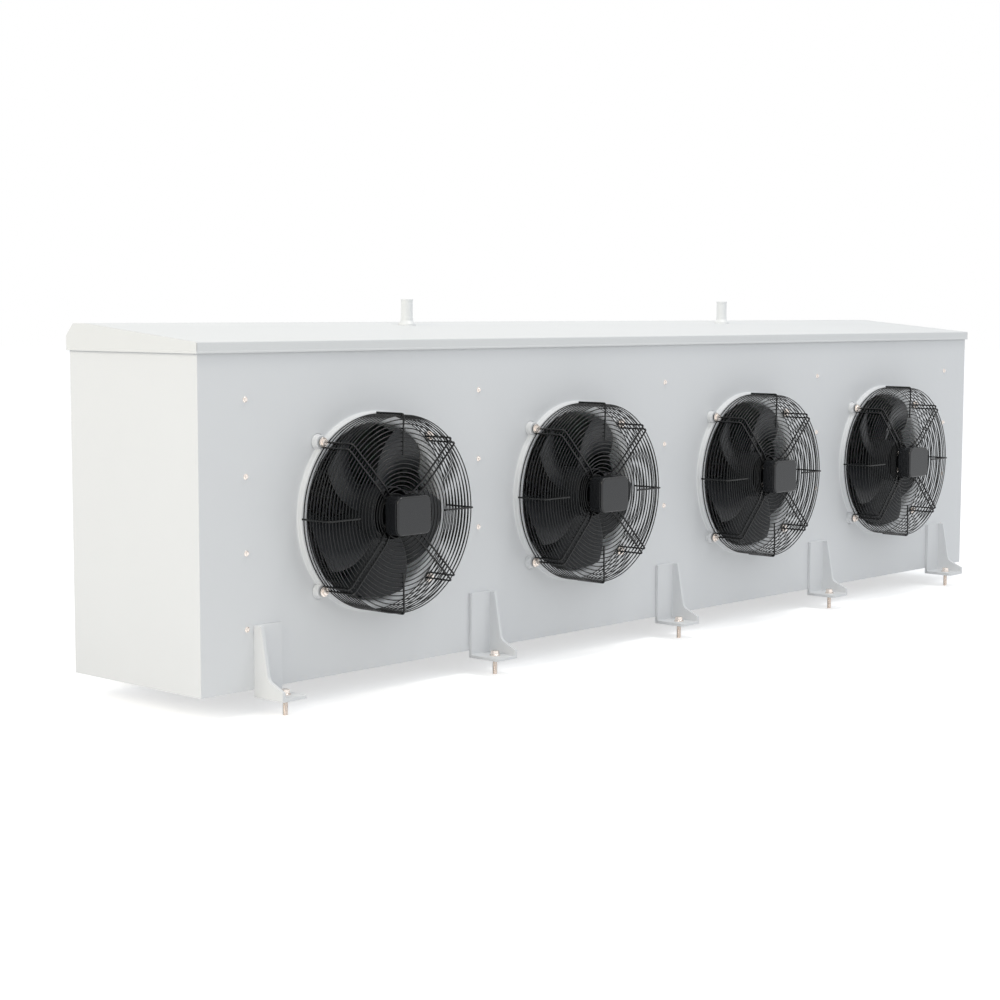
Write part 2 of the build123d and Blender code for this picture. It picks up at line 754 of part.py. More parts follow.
    with BuildPart() as impeller:
        for blade in range(blade_count):
            for radius, chord, pitch, lean in blade_sections:
                turn = radians(360 / blade_count * blade - lean)
                tilt = radians(pitch)
                section = Plane(
                    origin=(radius * cos(turn), radius * sin(turn), 0),
                    x_dir=(-sin(turn) * cos(tilt), cos(turn) * cos(tilt), sin(tilt)),
                    z_dir=(cos(turn), sin(turn), 0),
                )
                with BuildSketch(Plane(fan_plane.location * section.location)):
                    with BuildLine():
                        Polyline(*crescent_points(chord, blade_camber * chord), close=True)
                    make_face()
            loft(ruled=True)
        with BuildSketch(fan_plane.offset(-nozzle_bore)):
            Circle(blade_tip_radius)
        extrude(amount=2 * nozzle_bore, mode=Mode.INTERSECT)
        with BuildSketch(fan_plane.offset(-rotor_rear)):
            Circle(rotor_radius)
        extrude(amount=rotor_rear + rotor_front_rise)
        with BuildSketch(fan_plane.offset(rotor_plate_thickness - rotor_rear)):
            Circle(rotor_radius - rotor_wall)
        extrude(amount=rotor_rear + rotor_front_rise, mode=Mode.SUBTRACT)
        with BuildSketch(fan_plane.offset(-rotor_rear)):
            Circle(shaft_radius)
        extrude(amount=rotor_rear + stator_inner_rise + shaft_engagement)
    impeller.part.label = f"impeller_{number}"
    export_step(impeller.part, f"parts/impeller_{number}.step")

    with BuildPart() as terminal_box:
        with BuildSketch(fan_plane.offset(motor_neck_rise)):
            RectangleRounded(box_width, box_height, box_corner)
        extrude(amount=box_body_depth)
    terminal_box.part.label = f"terminal_box_{number}"
    export_step(terminal_box.part, f"parts/terminal_box_{number}.step")

    with BuildPart() as terminal_lid:
        with BuildSketch(fan_plane.offset(motor_neck_rise + box_body_depth)):
            RectangleRounded(box_width, box_height, box_corner)
        extrude(amount=lid_depth)
        chamfer(terminal_lid.faces().sort_by(Axis.Y)[0].edges(), lid_edge)
    terminal_lid.part.label = f"terminal_lid_{number}"
    export_step(terminal_lid.part, f"parts/terminal_lid_{number}.step")
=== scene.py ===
"""Finishes and fine shapes of a four-fan evaporator unit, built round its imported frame.

Sizes are in millimetres unless a name says otherwise, and each mesh is written in metres.
"""

import logging
import math
from dataclasses import dataclass
from enum import Enum

import bmesh
import bpy
import numpy as np
from mathutils import Matrix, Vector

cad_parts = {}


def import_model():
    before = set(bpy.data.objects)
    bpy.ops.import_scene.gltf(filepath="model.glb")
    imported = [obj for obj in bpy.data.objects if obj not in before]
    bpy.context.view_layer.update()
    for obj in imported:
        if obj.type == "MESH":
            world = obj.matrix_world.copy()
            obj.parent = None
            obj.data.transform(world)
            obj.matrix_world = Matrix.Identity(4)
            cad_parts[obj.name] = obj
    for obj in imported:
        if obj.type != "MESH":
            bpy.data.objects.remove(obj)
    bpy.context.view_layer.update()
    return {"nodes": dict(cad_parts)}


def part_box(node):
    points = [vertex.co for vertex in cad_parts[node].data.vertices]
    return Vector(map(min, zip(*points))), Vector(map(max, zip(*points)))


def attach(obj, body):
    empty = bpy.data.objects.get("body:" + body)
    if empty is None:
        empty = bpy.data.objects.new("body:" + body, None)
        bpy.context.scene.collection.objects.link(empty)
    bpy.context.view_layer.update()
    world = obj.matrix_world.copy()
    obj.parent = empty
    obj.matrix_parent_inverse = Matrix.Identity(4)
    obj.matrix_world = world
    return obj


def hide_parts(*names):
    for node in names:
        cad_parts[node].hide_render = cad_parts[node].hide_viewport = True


MM = 0.001
WELD = 0.01 * MM
CASING = "casing"
FANS = (1, 2, 3, 4)
log = logging.getLogger("evaporator")


class Pattern(Enum):
    """What varies over a finish."""

    GRAIN = "fine even grain"
    SPANGLE = "crystal flakes of zinc"


class Shells:
    """Gathers closed surfaces and turns them into one mesh object."""

    def __init__(self) -> None:
        """Starts with no surface."""
        self.points: list[np.ndarray] = []
        self.faces: list[list[int]] = []
        self.count = 0

    def add(self, points: np.ndarray, faces: list[list[int]]) -> None:
        """Adds one surface.

        Args:
            points: Corners in millimetres, as rows of x, y, z.
            faces: Corner numbers of each face.
        """
        points = np.asarray(points, float).reshape(-1, 3)
        self.faces += [[index + self.count for index in face] for face in faces]
        self.points.append(points)
        self.count += len(points)

    def add_rings(self, rings: np.ndarray, joined: bool = False, capped: bool = False) -> None:
        """Adds a surface through rings of points.

        Args:
            rings: Points as rings by steps round by three.
            joined: Whether the last ring joins the first.
            capped: Whether a face closes the first and the last ring.
        """
        rows, columns = rings.shape[:2]
        caps = end_caps(rows, columns) if capped else []
        self.add(rings, grid_faces(rows, columns, joined) + caps)

    def build(self, name: str, sharp_degrees: float = 35.0, weighted: bool = False) -> bpy.types.Object:
        """Makes the mesh object, its doubles merged and its faces outwards.

        Args:
            name: Name of the object.
            sharp_degrees: Folds over this angle are shaded as sharp edges.
            weighted: Whether large faces keep their own shading up to a fold.

        Returns:
            The object, at the origin, with its place in its mesh.
        """
        mesh = bpy.data.meshes.new(name)
        mesh.from_pydata((np.concatenate(self.points) * MM).tolist(), [], self.faces)
        work = bmesh.new()
        work.from_mesh(mesh)
        bmesh.ops.remove_doubles(work, verts=work.verts, dist=WELD)
        bmesh.ops.recalc_face_normals(work, faces=work.faces)
        work.to_mesh(mesh)
        work.free()
        mesh.polygons.foreach_set("use_smooth", np.ones(len(mesh.polygons), bool))
        mesh.set_sharp_from_angle(angle=math.radians(sharp_degrees))
        made = bpy.data.objects.new(name, mesh)
        bpy.context.scene.collection.objects.link(made)
        if weighted:
            made.modifiers.new("flat_faces", "WEIGHTED_NORMAL").keep_sharp = True
        return made


def grid_faces(rows: int, columns: int, wrap_rows: bool) -> list[list[int]]:
    """Four-cornered faces of rings of points numbered ring by ring.

    Each face joins a point to the next in its ring and to the two beside them in the next ring.

    Args:
        rows: How many rings there are.
        columns: How many points each ring has.
        wrap_rows: Whether the last ring joins the first.

    Returns:
        The corner numbers of each face.
    """
    row, column = np.meshgrid(
        np.arange(rows if wrap_rows else rows - 1), np.arange(columns), indexing="ij"
    )
    next_row, next_column = (row + 1) % rows, (column + 1) % columns
    corners = (row, column), (next_row, column), (next_row, next_column), (row, next_column)
    return np.stack([r * columns + c for r, c in corners], axis=-1).reshape(-1, 4).tolist()


def end_caps(rows: int, columns: int) -> list[list[int]]:
    """Two many-cornered faces that close the first and the last ring."""
    last = (rows - 1) * columns
    return [list(range(columns)), list(range(last, last + columns))]


def rounded(corners: list, radii: float | list[float], steps: int = 5, closed: bool = False) -> np.ndarray:
    """A line through corners that are turned into arcs.

    At each corner the arc touches both runs. Its points are its centre plus a blend of the first and the
    last spoke, each weighted by the sine of the angle still to go or already gone, over the sine of the turn.

    Args:
        corners: The corner points, in two or three dimensions.
        radii: One radius for every corner, or one each.
        steps: How many pieces each arc has.
        closed: Whether the line returns to its first corner.

    Returns:
        The line's points, one per row.
    """
    corners = np.asarray(corners, float)
    count = len(corners)
    radii = np.broadcast_to(np.asarray(radii, float), count)
    share = np.linspace(0, 1, steps + 1)[:, None]
    pieces = []
    for index in range(count):
        corner, radius = corners[index], radii[index]
        if radius <= 0 or (not closed and index in (0, count - 1)):
            pieces.append(corner[None])
            continue
        back = corners[index - 1] - corner
        ahead = corners[(index + 1) % count] - corner
        back, ahead = back / np.linalg.norm(back), ahead / np.linalg.norm(ahead)
        half = math.acos(float(np.clip(back @ ahead, -1, 1))) / 2
        turn = math.pi - 2 * half
        centre = corner + (back + ahead) / np.linalg.norm(back + ahead) * radius / math.sin(half)
        first = corner + back * radius / math.tan(half) - centre
        last = corner + ahead * radius / math.tan(half) - centre
        blend = np.sin((1 - share) * turn) * first + np.sin(share * turn) * last
        pieces.append(centre + blend / math.sin(turn))
    return np.concatenate(pieces)


def revolved(profile: np.ndarray, segments: int) -> np.ndarray:
    """A profile turned about the third axis.

    Each profile point is a radius and a rise. It goes round in equal steps: the first two numbers are the
    radius times the cosine and the sine of the step's angle, and the third is the rise.

    Args:
        profile: Rows of radius and rise.
        segments: Steps in a full turn.

    Returns:
        Points as rows of the profile by steps by three.
    """
    angle = np.linspace(0, 2 * math.pi, segments, endpoint=False)
    radius, rise = profile[:, :1], profile[:, 1:]
    return np.stack([radius * np.cos(angle), radius * np.sin(angle), rise + 0 * angle], axis=-1)


def wire(path: np.ndarray, radius: float, sides: int = 10) -> np.ndarray:
    """Circles of points along a path.

    At each point of the path a circle stands square to the path. Its two directions are the path's direction
    crossed with one fixed slanting direction, and the cross of those two.

    Args:
        path: The wire's middle line.
        radius: The wire's radius.
        sides: How many points the circle has.

    Returns:
        Points as places on the path by sides by three.
    """
    slant = np.array([0.36, 0.48, 0.80])
    ahead = np.gradient(path, axis=0)
    ahead /= np.linalg.norm(ahead, axis=1, keepdims=True)
    across = np.cross(ahead, slant)
    across /= np.linalg.norm(across, axis=1, keepdims=True)
    lift = np.cross(ahead, across)
    angle = np.linspace(0, 2 * math.pi, sides, endpoint=False)[None, :, None]
    return path[:, None] + radius * (np.cos(angle) * across[:, None] + np.sin(angle) * lift[:, None])


def rounded_rectangle(width: float, height: float, corner: float, steps: int = 8) -> np.ndarray:
    """Outline of a rectangle about the origin, its corners rounded to a radius."""
    half_width, half_height = width / 2, height / 2
    corners = [
        (half_width, half_height), (-half_width, half_height),
        (-half_width, -half_height), (half_width, -half_height),
    ]
    return rounded(corners, corner, steps, closed=True)


def box_faces() -> list[list[int]]:
    """Faces of a box whose eight corners are numbered with the third axis changing fastest."""
    return [[0, 1, 3, 2], [4, 6, 7, 5], [0, 4, 5, 1], [2, 3, 7, 6], [0, 2, 6, 4], [1, 5, 7, 3]]


def box_points(low: tuple, high: tuple) -> np.ndarray:
    """The eight corners of a box, the third axis changing fastest."""
    return np.stack(np.meshgrid(*zip(low, high), indexing="ij"), axis=-1).reshape(-1, 3)


class Nodes:
    """Shader node groups that several finishes share."""

    @staticmethod
    def new_group(name: str, inputs: dict[str, str], outputs: dict[str, str]) -> bpy.types.NodeTree:
        """An empty group with its sockets.

        Args:
            name: Name of the group.
            inputs: Socket type of each input's name.
            outputs: Socket type of each output's name.

        Returns:
            The group, with a Group Input and a Group Output node.
        """
        group = bpy.data.node_groups.new(name, "ShaderNodeTree")
        for label, kind in inputs.items():
            group.interface.new_socket(name=label, in_out="INPUT", socket_type=kind)
        for label, kind in outputs.items():
            group.interface.new_socket(name=label, in_out="OUTPUT", socket_type=kind)
        group.nodes.new("NodeGroupInput")
        group.nodes.new("NodeGroupOutput")
        return group

    @staticmethod
    def math(
        tree: bpy.types.NodeTree, operation: str, first: object, second: object
    ) -> bpy.types.NodeSocket:
        """A Math node on two sockets or numbers, as its output socket."""
        node = tree.nodes.new("ShaderNodeMath")
        node.operation = operation
        for socket, value in zip(node.inputs, (first, second)):
            if isinstance(value, bpy.types.NodeSocket):
                tree.links.new(value, socket)
            else:
                socket.default_value = value
        return node.outputs[0]

    @staticmethod
    def scale(tree: bpy.types.NodeTree, colour: object, gain: object) -> bpy.types.NodeSocket:
        """A colour socket times a number socket, as the product's socket."""
        node = tree.nodes.new("ShaderNodeVectorMath")
        node.operation = "SCALE"
        tree.links.new(colour, node.inputs[0])
        tree.links.new(gain, node.inputs["Scale"])
        return node.outputs[0]

    @classmethod
    def tone(cls) -> bpy.types.NodeTree:
        """Group that lightens and darkens a colour in soft clouds: the colour times one plus the amount times
        the noise less a half."""
        if "soft_tone" in bpy.data.node_groups:
            return bpy.data.node_groups["soft_tone"]
        number = "NodeSocketFloat"
        group = cls.new_group(
            "soft_tone",
            {"Vector": "NodeSocketVector", "Colour": "NodeSocketColor", "Scale": number, "Amount": number},
            {"Colour": "NodeSocketColor", "Value": number},
        )
        source, target = group.nodes["Group Input"], group.nodes["Group Output"]
        noise = group.nodes.new("ShaderNodeTexNoise")
        noise.inputs["Detail"].default_value = 4.0
        group.links.new(source.outputs["Vector"], noise.inputs["Vector"])
        group.links.new(source.outputs["Scale"], noise.inputs["Scale"])
        shift = cls.math(group, "SUBTRACT", noise.outputs["Fac"], 0.5)
        swing = cls.math(group, "MULTIPLY", shift, source.outputs["Amount"])
        gain = cls.math(group, "ADD", swing, 1.0)
        group.links.new(cls.scale(group, source.outputs["Colour"], gain), target.inputs["Colour"])
        group.links.new(noise.outputs["Fac"], target.inputs["Value"])
        return group

    @classmethod
    def relief(cls) -> bpy.types.NodeTree:
        """Group that gives a fine height and a roughness: a noise plus 0.4 of one three times finer as the
        height, and the roughness plus the coarser one's swing."""
        if "fine_relief" in bpy.data.node_groups:
            return bpy.data.node_groups["fine_relief"]
        number = "NodeSocketFloat"
        group = cls.new_group(
            "fine_relief",
            {"Vector": "NodeSocketVector", "Scale": number, "Roughness": number, "Swing": number},
            {"Height": number, "Roughness": number},
        )
        source, target = group.nodes["Group Input"], group.nodes["Group Output"]
        heights = []
        for finer in (1.0, 3.0):
            noise = group.nodes.new("ShaderNodeTexNoise")
            noise.inputs["Detail"].default_value = 1.0
            group.links.new(source.outputs["Vector"], noise.inputs["Vector"])
            scale = cls.math(group, "MULTIPLY", source.outputs["Scale"], finer)
            group.links.new(scale, noise.inputs["Scale"])
            heights.append(noise.outputs["Fac"])
        finer = cls.math(group, "MULTIPLY", heights[1], 0.4)
        group.links.new(cls.math(group, "ADD", heights[0], finer), target.inputs["Height"])
        shift = cls.math(group, "SUBTRACT", heights[0], 0.5)
        swing = cls.math(group, "MULTIPLY", shift, source.outputs["Swing"])
        roughness = cls.math(group, "ADD", source.outputs["Roughness"], swing)
        group.links.new(roughness, target.inputs["Roughness"])
        return group

    @classmethod
    def flakes(cls) -> bpy.types.NodeTree:
        """Group that tints a colour flake by flake: each Voronoi cell multiplies it by one plus the amount
        times the cell's own random number less a half."""
        if "zinc_flakes" in bpy.data.node_groups:
            return bpy.data.node_groups["zinc_flakes"]
        number = "NodeSocketFloat"
        group = cls.new_group(
            "zinc_flakes",
            {"Vector": "NodeSocketVector", "Colour": "NodeSocketColor", "Scale": number, "Amount": number},
            {"Colour": "NodeSocketColor"},
        )
        source, target = group.nodes["Group Input"], group.nodes["Group Output"]
        cells = group.nodes.new("ShaderNodeTexVoronoi")
        group.links.new(source.outputs["Vector"], cells.inputs["Vector"])
        group.links.new(source.outputs["Scale"], cells.inputs["Scale"])
        split = group.nodes.new("ShaderNodeSeparateColor")
        group.links.new(cells.outputs["Color"], split.inputs[0])
        shift = cls.math(group, "SUBTRACT", split.outputs[0], 0.5)
        swing = cls.math(group, "MULTIPLY", shift, source.outputs["Amount"])
        gain = cls.math(group, "ADD", swing, 1.0)
        group.links.new(cls.scale(group, source.outputs["Colour"], gain), target.inputs["Colour"])
        return group


@dataclass(frozen=True)
class Finish:
    """One surface finish: its colour and gloss, and what varies over it. Sizes and depths are in metres."""

    name: str
    slot: str
    colour: tuple[float, float, float]
    roughness: float
    metallic: float = 0.0
    specular: float = 0.5
    grain_scale: float = 600.0
    grain_depth: float = 0.00003
    roughness_swing: float = 0.08
    tone_scale: float = 5.0
    tone_amount: float = 0.03
    flake_scale: float = 90.0
    flake_amount: float = 0.0
    pattern: Pattern = Pattern.GRAIN
    stretch: tuple[float, float, float] = (1.0, 1.0, 1.0)

    def material(self) -> bpy.types.Material:
        """Builds the material once and returns it."""
        if self.name in bpy.data.materials:
            return bpy.data.materials[self.name]
        made = bpy.data.materials.new(self.name)
        made.use_nodes = True
        made.diffuse_color = (*self.colour, 1.0)
        tree = made.node_tree
        surface = tree.nodes["Principled BSDF"]
        surface.inputs["Metallic"].default_value = self.metallic
        surface.inputs["Specular IOR Level"].default_value = self.specular
        place = tree.nodes.new("ShaderNodeTexCoord")
        mapping = tree.nodes.new("ShaderNodeMapping")
        mapping.inputs["Scale"].default_value = self.stretch
        tree.links.new(place.outputs["Object"], mapping.inputs["Vector"])
        vector = mapping.outputs["Vector"]
        tone = self._group(
            tree, Nodes.tone(), vector, {"Scale": self.tone_scale, "Amount": self.tone_amount}
        )
        tone.inputs["Colour"].default_value = (*self.colour, 1.0)
        colour = tone.outputs["Colour"]
        if self.pattern is Pattern.SPANGLE:
            flakes = self._group(
                tree, Nodes.flakes(), vector, {"Scale": self.flake_scale, "Amount": self.flake_amount}
            )
            tree.links.new(colour, flakes.inputs["Colour"])
            colour = flakes.outputs["Colour"]
        relief = self._group(
            tree,
            Nodes.relief(),
            vector,
            {"Scale": self.grain_scale, "Roughness": self.roughness, "Swing": self.roughness_swing},
        )
        bump = tree.nodes.new("ShaderNodeBump")
        bump.inputs["Distance"].default_value = self.grain_depth
        tree.links.new(relief.outputs["Height"], bump.inputs["Height"])
        tree.links.new(bump.outputs["Normal"], surface.inputs["Normal"])
        tree.links.new(relief.outputs["Roughness"], surface.inputs["Roughness"])
        tree.links.new(colour, surface.inputs["Base Color"])
        return made

    @staticmethod
    def _group(
        tree: bpy.types.NodeTree,
        group: bpy.types.NodeTree,
        vector: bpy.types.NodeSocket,
        values: dict[str, float],
    ) -> bpy.types.Node:
        """Places a shared group in a material, with its own values.

        Args:
            tree: The material's nodes.
            group: The shared group.
            vector: Where the coordinates come from.
            values: The number for each named input.

        Returns:
            The group's node.
        """
        node = tree.nodes.new("ShaderNodeGroup")
        node.node_tree = group
        tree.links.new(vector, node.inputs["Vector"])
        for label, value in values.items():
            node.inputs[label].default_value = value
        return node

    def dress(self, made: bpy.types.Object) -> None:
        """Gives an object this finish alone."""
        made.data.materials.clear()
        made.data.materials.append(self.material())


POWDER = Finish(
    "powder_coat", "casing_powder_coat", (0.80, 0.81, 0.82), 0.46,
    grain_scale=420.0, grain_depth=0.00009,
)
TRAY_COAT = Finish(
    "tray_coat", "tray_powder_coat", (0.79, 0.80, 0.80), 0.50,
    grain_scale=420.0, grain_depth=0.00009,
)
DRAIN = Finish(
    "moulded_white", "drain_plastic", (0.84, 0.85, 0.85), 0.35,
    grain_scale=900.0, grain_depth=0.00001,
)
GALVANISED = Finish(
    "spangled_zinc", "galvanised_sheet", (0.60, 0.61, 0.62), 0.38, metallic=0.9,
    flake_amount=0.28, pattern=Pattern.SPANGLE, grain_depth=0.00001,
)
FINS = Finish(
    "fin_aluminium", "coil_fins", (0.74, 0.75, 0.76), 0.36, metallic=0.9,
    stretch=(1.0, 1.0, 0.1), grain_scale=500.0,
)
COPPER = Finish(
    "drawn_copper", "copper_tube", (0.72, 0.40, 0.27), 0.30, metallic=1.0,
    tone_scale=30.0, tone_amount=0.25, grain_depth=0.00001,
)
ZINC = Finish(
    "passivated_zinc", "zinc_fasteners", (0.88, 0.80, 0.74), 0.24, metallic=0.85,
    tone_scale=160.0, tone_amount=0.12, grain_scale=1500.0, grain_depth=0.00001,
)
WIRE = Finish(
    "wire_coat", "guard_wire", (0.007, 0.0075, 0.008), 0.24,
    specular=0.32, grain_scale=1500.0,
)
ENAMEL = Finish(
    "black_enamel", "motor_enamel", (0.009, 0.010, 0.011), 0.36,
    specular=0.3, grain_scale=1200.0,
)
BLADE = Finish(
    "black_fan_coat", "impeller_enamel", (0.024, 0.026, 0.029), 0.36,
    specular=0.4, grain_scale=1200.0,
)
LID = Finish(
    "moulded_black", "terminal_plastic", (0.013, 0.014, 0.016), 0.20, specular=0.5,
    grain_scale=1800.0, grain_depth=0.00001, roughness_swing=0.04,
)


def finish_piece(made: bpy.types.Object, finish: Finish, body: str, *nodes: str) -> None:
    """Dresses a new piece, rides it on its body and hides the frame's nodes that it stands for.

    Args:
        made: The piece.
        finish: Its finish.
        body: The body that carries it.
        nodes: The frame's nodes that it replaces.
    """
    finish.dress(made)
    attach(made, body)
    if nodes:
        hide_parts(*nodes)
    log.info("%s: %d faces, %s, on %s", made.name, len(made.data.polygons), finish.name, body)


@dataclass(frozen=True)
class FanPlace:
    """Where a fan stands: its axis and the front panel's face."""

    number: int
    x: float
    face_y: float
    z: float

    @classmethod
    def of(cls, number: int) -> "FanPlace":
        """Reads a fan's place from the frame."""
        low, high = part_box(f"nozzle_ring_{number}")
        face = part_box("front_panel")[0].y
        return cls(number, (low.x + high.x) / 2 / MM, face / MM, (low.z + high.z) / 2 / MM)

    def put(self, points: np.ndarray) -> np.ndarray:
        """Moves points from the fan's own axes, right, up and out of the panel, to the frame's."""
        points = np.asarray(points, float)
        right, up, out = points[..., 0], points[..., 1], points[..., 2]
        return np.stack([self.x + right, self.face_y - out, self.z + up], axis=-1)


def turned(points: np.ndarray, degrees: float) -> np.ndarray:
    """Points turned about the third axis, by an angle in degrees."""
    cosine, sine = math.cos(math.radians(degrees)), math.sin(math.radians(degrees))
    right, up = points[..., 0], points[..., 1]
    return np.stack([right * cosine - up * sine, right * sine + up * cosine, points[..., 2]], axis=-1)


DIAGONALS = (45.0, 135.0, 225.0, 315.0)


@dataclass(frozen=True)
class NozzleRing:
    """A pressed dish with a raised collar, a bell mouth and four bolt bosses."""

    foot_radius: float = 263.0
    collar_radius: float = 259.0
    collar_rise: float = 16.0
    bore: float = 231.0
    depth: float = 45.0
    sheet: float = 2.0
    mouth_round: float = 14.0
    shoulder_round: float = 6.0
    foot_round: float = 4.0
    sink: float = 1.0
    boss_circle: float = 268.0
    boss_radius: float = 18.0
    boss_rise: float = 16.3
    boss_foot: float = 22.0
    boss_segments: int = 48
    segments: int = 180

    def profile(self) -> np.ndarray:
        """The dish's section: panel fillet, collar wall, flat, bell mouth and bore, then back inside."""
        inner, top = self.bore + self.sheet, self.collar_rise - self.sheet
        corners = [
            (self.foot_radius, 0), (self.collar_radius, 0), (self.collar_radius, self.collar_rise),
            (self.bore, self.collar_rise), (self.bore, -self.depth), (inner, -self.depth), (inner, top),
            (self.collar_radius - self.sheet, top), (self.collar_radius - self.sheet, -self.sink),
            (self.foot_radius, -self.sink),
        ]
        radii = [
            0, self.foot_round, self.shoulder_round, self.mouth_round, 0.8, 0.8,
            self.mouth_round - self.sheet, self.shoulder_round - self.sheet, 0, 0,
        ]
        return rounded(corners, radii, steps=7, closed=True)

    def boss_profile(self) -> np.ndarray:
        """A boss's section, from the middle of its face to its fillet and its foot."""
        corners = [
            (0, self.boss_rise), (self.boss_radius, self.boss_rise), (self.boss_radius, 0),
            (self.boss_foot, 0), (self.boss_foot, -self.sink), (0, -self.sink),
        ]
        return rounded(corners, [0, 1.6, 3.0, 0, 0, 0], steps=4)

    def build(self, place: FanPlace) -> None:
        """Makes the ring at a fan's place."""
        shells = Shells()
        shells.add_rings(place.put(revolved(self.profile(), self.segments)), joined=True)
        boss = revolved(self.boss_profile(), self.boss_segments)
        boss[..., 0] += self.boss_circle
        for angle in DIAGONALS:
            shells.add_rings(place.put(turned(boss, angle)))
        made = shells.build(f"nozzle_dish_{place.number}", weighted=True)
        finish_piece(made, POWDER, CASING, f"nozzle_ring_{place.number}")


@dataclass(frozen=True)
class WireGuard:
    """A basket of rings on four single spokes and four double arms that hold the motor."""

    ring_wire: float = 1.5
    arm_wire: float = 2.5
    side_radius: float = 254.2
    base_rise: float = 19.5
    side_pitch: float = 11.6
    side_count: int = 9
    front_outer: float = 243.5
    front_pitch: float = 11.3
    front_count: int = 17
    arm_rise: float = 117.0
    run_radius: float = 258.0
    spoke_inner: float = 152.0
    bend_radius: float = 104.0
    bend_rise: float = 114.2
    knee_radius: float = 66.0
    knee_rise: float = 104.8
    foot_radius: float = 52.0
    foot_rise: float = 88.6
    end_radius: float = 34.0
    arm_gap: float = 18.0
    ear_circle: float = 268.3
    ear_rise: float = 18.8
    weld: float = 0.3
    spoke_round: float = 6.0
    arm_rounds: tuple = (0, 8, 14, 30, 8, 5, 0)
    loop_steps: int = 17
    ring_segments: int = 120
    ring_sides: int = 8

    def arm_height(self, radius: np.ndarray) -> np.ndarray:
        """Rise of the arms' middle line at a radius, straight between knee, bend and outer run."""
        return np.interp(
            radius,
            [self.knee_radius, self.bend_radius, self.run_radius],
            [self.knee_rise, self.bend_rise, self.arm_rise],
        )

    def ring_places(self) -> list[tuple[float, float]]:
        """Radius and rise of each ring's middle line, the side rings first."""
        side = self.base_rise + self.side_pitch * np.arange(self.side_count)
        radii = self.front_outer - self.front_pitch * np.arange(self.front_count)
        rises = self.arm_height(radii) - self.arm_wire - self.ring_wire + self.weld
        front = zip(radii.tolist(), rises.tolist())
        return [(self.side_radius, rise) for rise in side.tolist()] + list(front)

    def arm_path(self) -> np.ndarray:
        """A double arm as one wire: in along one side from the motor's flange, over the front, down to the
        ear, round its bolt in a half circle and back."""
        side = self.arm_gap / 2
        half = rounded(
            [
                (self.end_radius, side, self.foot_rise), (self.foot_radius, side, self.foot_rise),
                (self.knee_radius, side, self.knee_rise), (self.bend_radius, side, self.bend_rise),
                (self.run_radius, side, self.arm_rise), (self.run_radius, side, self.ear_rise),
                (self.ear_circle, side, self.ear_rise),
            ],
            self.arm_rounds,
            steps=6,
        )
        angle = np.linspace(math.pi / 2, -math.pi / 2, self.loop_steps)[1:-1]
        loop = np.stack(
            [self.ear_circle + side * np.cos(angle), side * np.sin(angle), self.ear_rise + 0 * angle], axis=-1
        )
        return np.concatenate([half, loop, half[::-1] * (1, -1, 1)])

    def spoke_path(self) -> np.ndarray:
        """A single spoke: up the side, round a tight bend and in over the front rings."""
        return rounded(
            [
                (self.run_radius, 0, self.base_rise - self.ring_wire), (self.run_radius, 0, self.arm_rise),
                (self.spoke_inner, 0, float(self.arm_height(np.array(self.spoke_inner)))),
            ],
            [0, self.spoke_round, 0],
            steps=6,
        )

    def build(self, place: FanPlace) -> None:
        """Makes the guard at a fan's place."""
        shells = Shells()
        angle = np.linspace(0, 2 * math.pi, self.ring_sides, endpoint=False)
        circle = self.ring_wire * np.stack([np.cos(angle), np.sin(angle)], axis=-1)
        for ring_place in self.ring_places():
            shells.add_rings(place.put(revolved(circle + ring_place, self.ring_segments)), joined=True)
        for path, first in ((self.spoke_path(), 0.0), (self.arm_path(), 45.0)):
            points = wire(path, self.arm_wire)
            for turn in range(4):
                shells.add_rings(place.put(turned(points, first + 90.0 * turn)), capped=True)
        made = shells.build(f"wire_guard_{place.number}", sharp_degrees=60.0)
        finish_piece(made, WIRE, CASING, f"guard_{place.number}")


@dataclass(frozen=True)
class FanMotor:
    """The still part of an external-rotor motor: stator, flange with bolt lugs, ribs and neck."""

    stator_radius: float = 51.5
    stator_rear: float = 20.5
    flange_radius: float = 53.0
    flange_rise: float = 86.0
    flange_thickness: float = 8.0
    lug_circle: float = 39.0
    lug_radius: float = 15.0
    neck_radius: float = 26.0
    neck_rise: float = 108.0
    rib_count: int = 8
    rib_half: float = 1.5
    rib_sink: float = 2.0
    rib_short: float = 10.0
    rib_drop: float = 6.0
    segments: int = 72
    lug_segments: int = 32

    def build(self, place: FanPlace) -> None:
        """Makes the motor at a fan's place."""
        under = self.flange_rise - self.flange_thickness
        corners = [
            (0, self.neck_rise), (self.neck_radius, self.neck_rise), (self.neck_radius, self.flange_rise),
            (self.flange_radius, self.flange_rise), (self.flange_radius, under), (self.stator_radius, under),
            (self.stator_radius, self.stator_rear), (0, self.stator_rear),
        ]
        profile = rounded(corners, [0, 1.5, 4, 2, 1.5, 1, 4, 0], steps=4)
        shells = Shells()
        shells.add_rings(place.put(revolved(profile, self.segments)))
        corners = [
            (0, self.flange_rise), (self.lug_radius, self.flange_rise), (self.lug_radius, under), (0, under),
        ]
        points = revolved(rounded(corners, [0, 1.5, 1.5, 0], steps=3), self.lug_segments)
        points[..., 0] += self.lug_circle
        for angle in DIAGONALS:
            shells.add_rings(place.put(turned(points, angle)))
        rib = box_points(
            (self.neck_radius - self.rib_sink, -self.rib_half, under),
            (self.lug_circle - self.rib_short, self.rib_half, self.neck_rise - self.rib_drop),
        )
        for step in range(self.rib_count):
            shells.add(place.put(turned(rib, 360.0 / self.rib_count * step)), box_faces())
        made = shells.build(f"motor_housing_{place.number}", weighted=True)
        finish_piece(made, ENAMEL, CASING, f"motor_{place.number}")


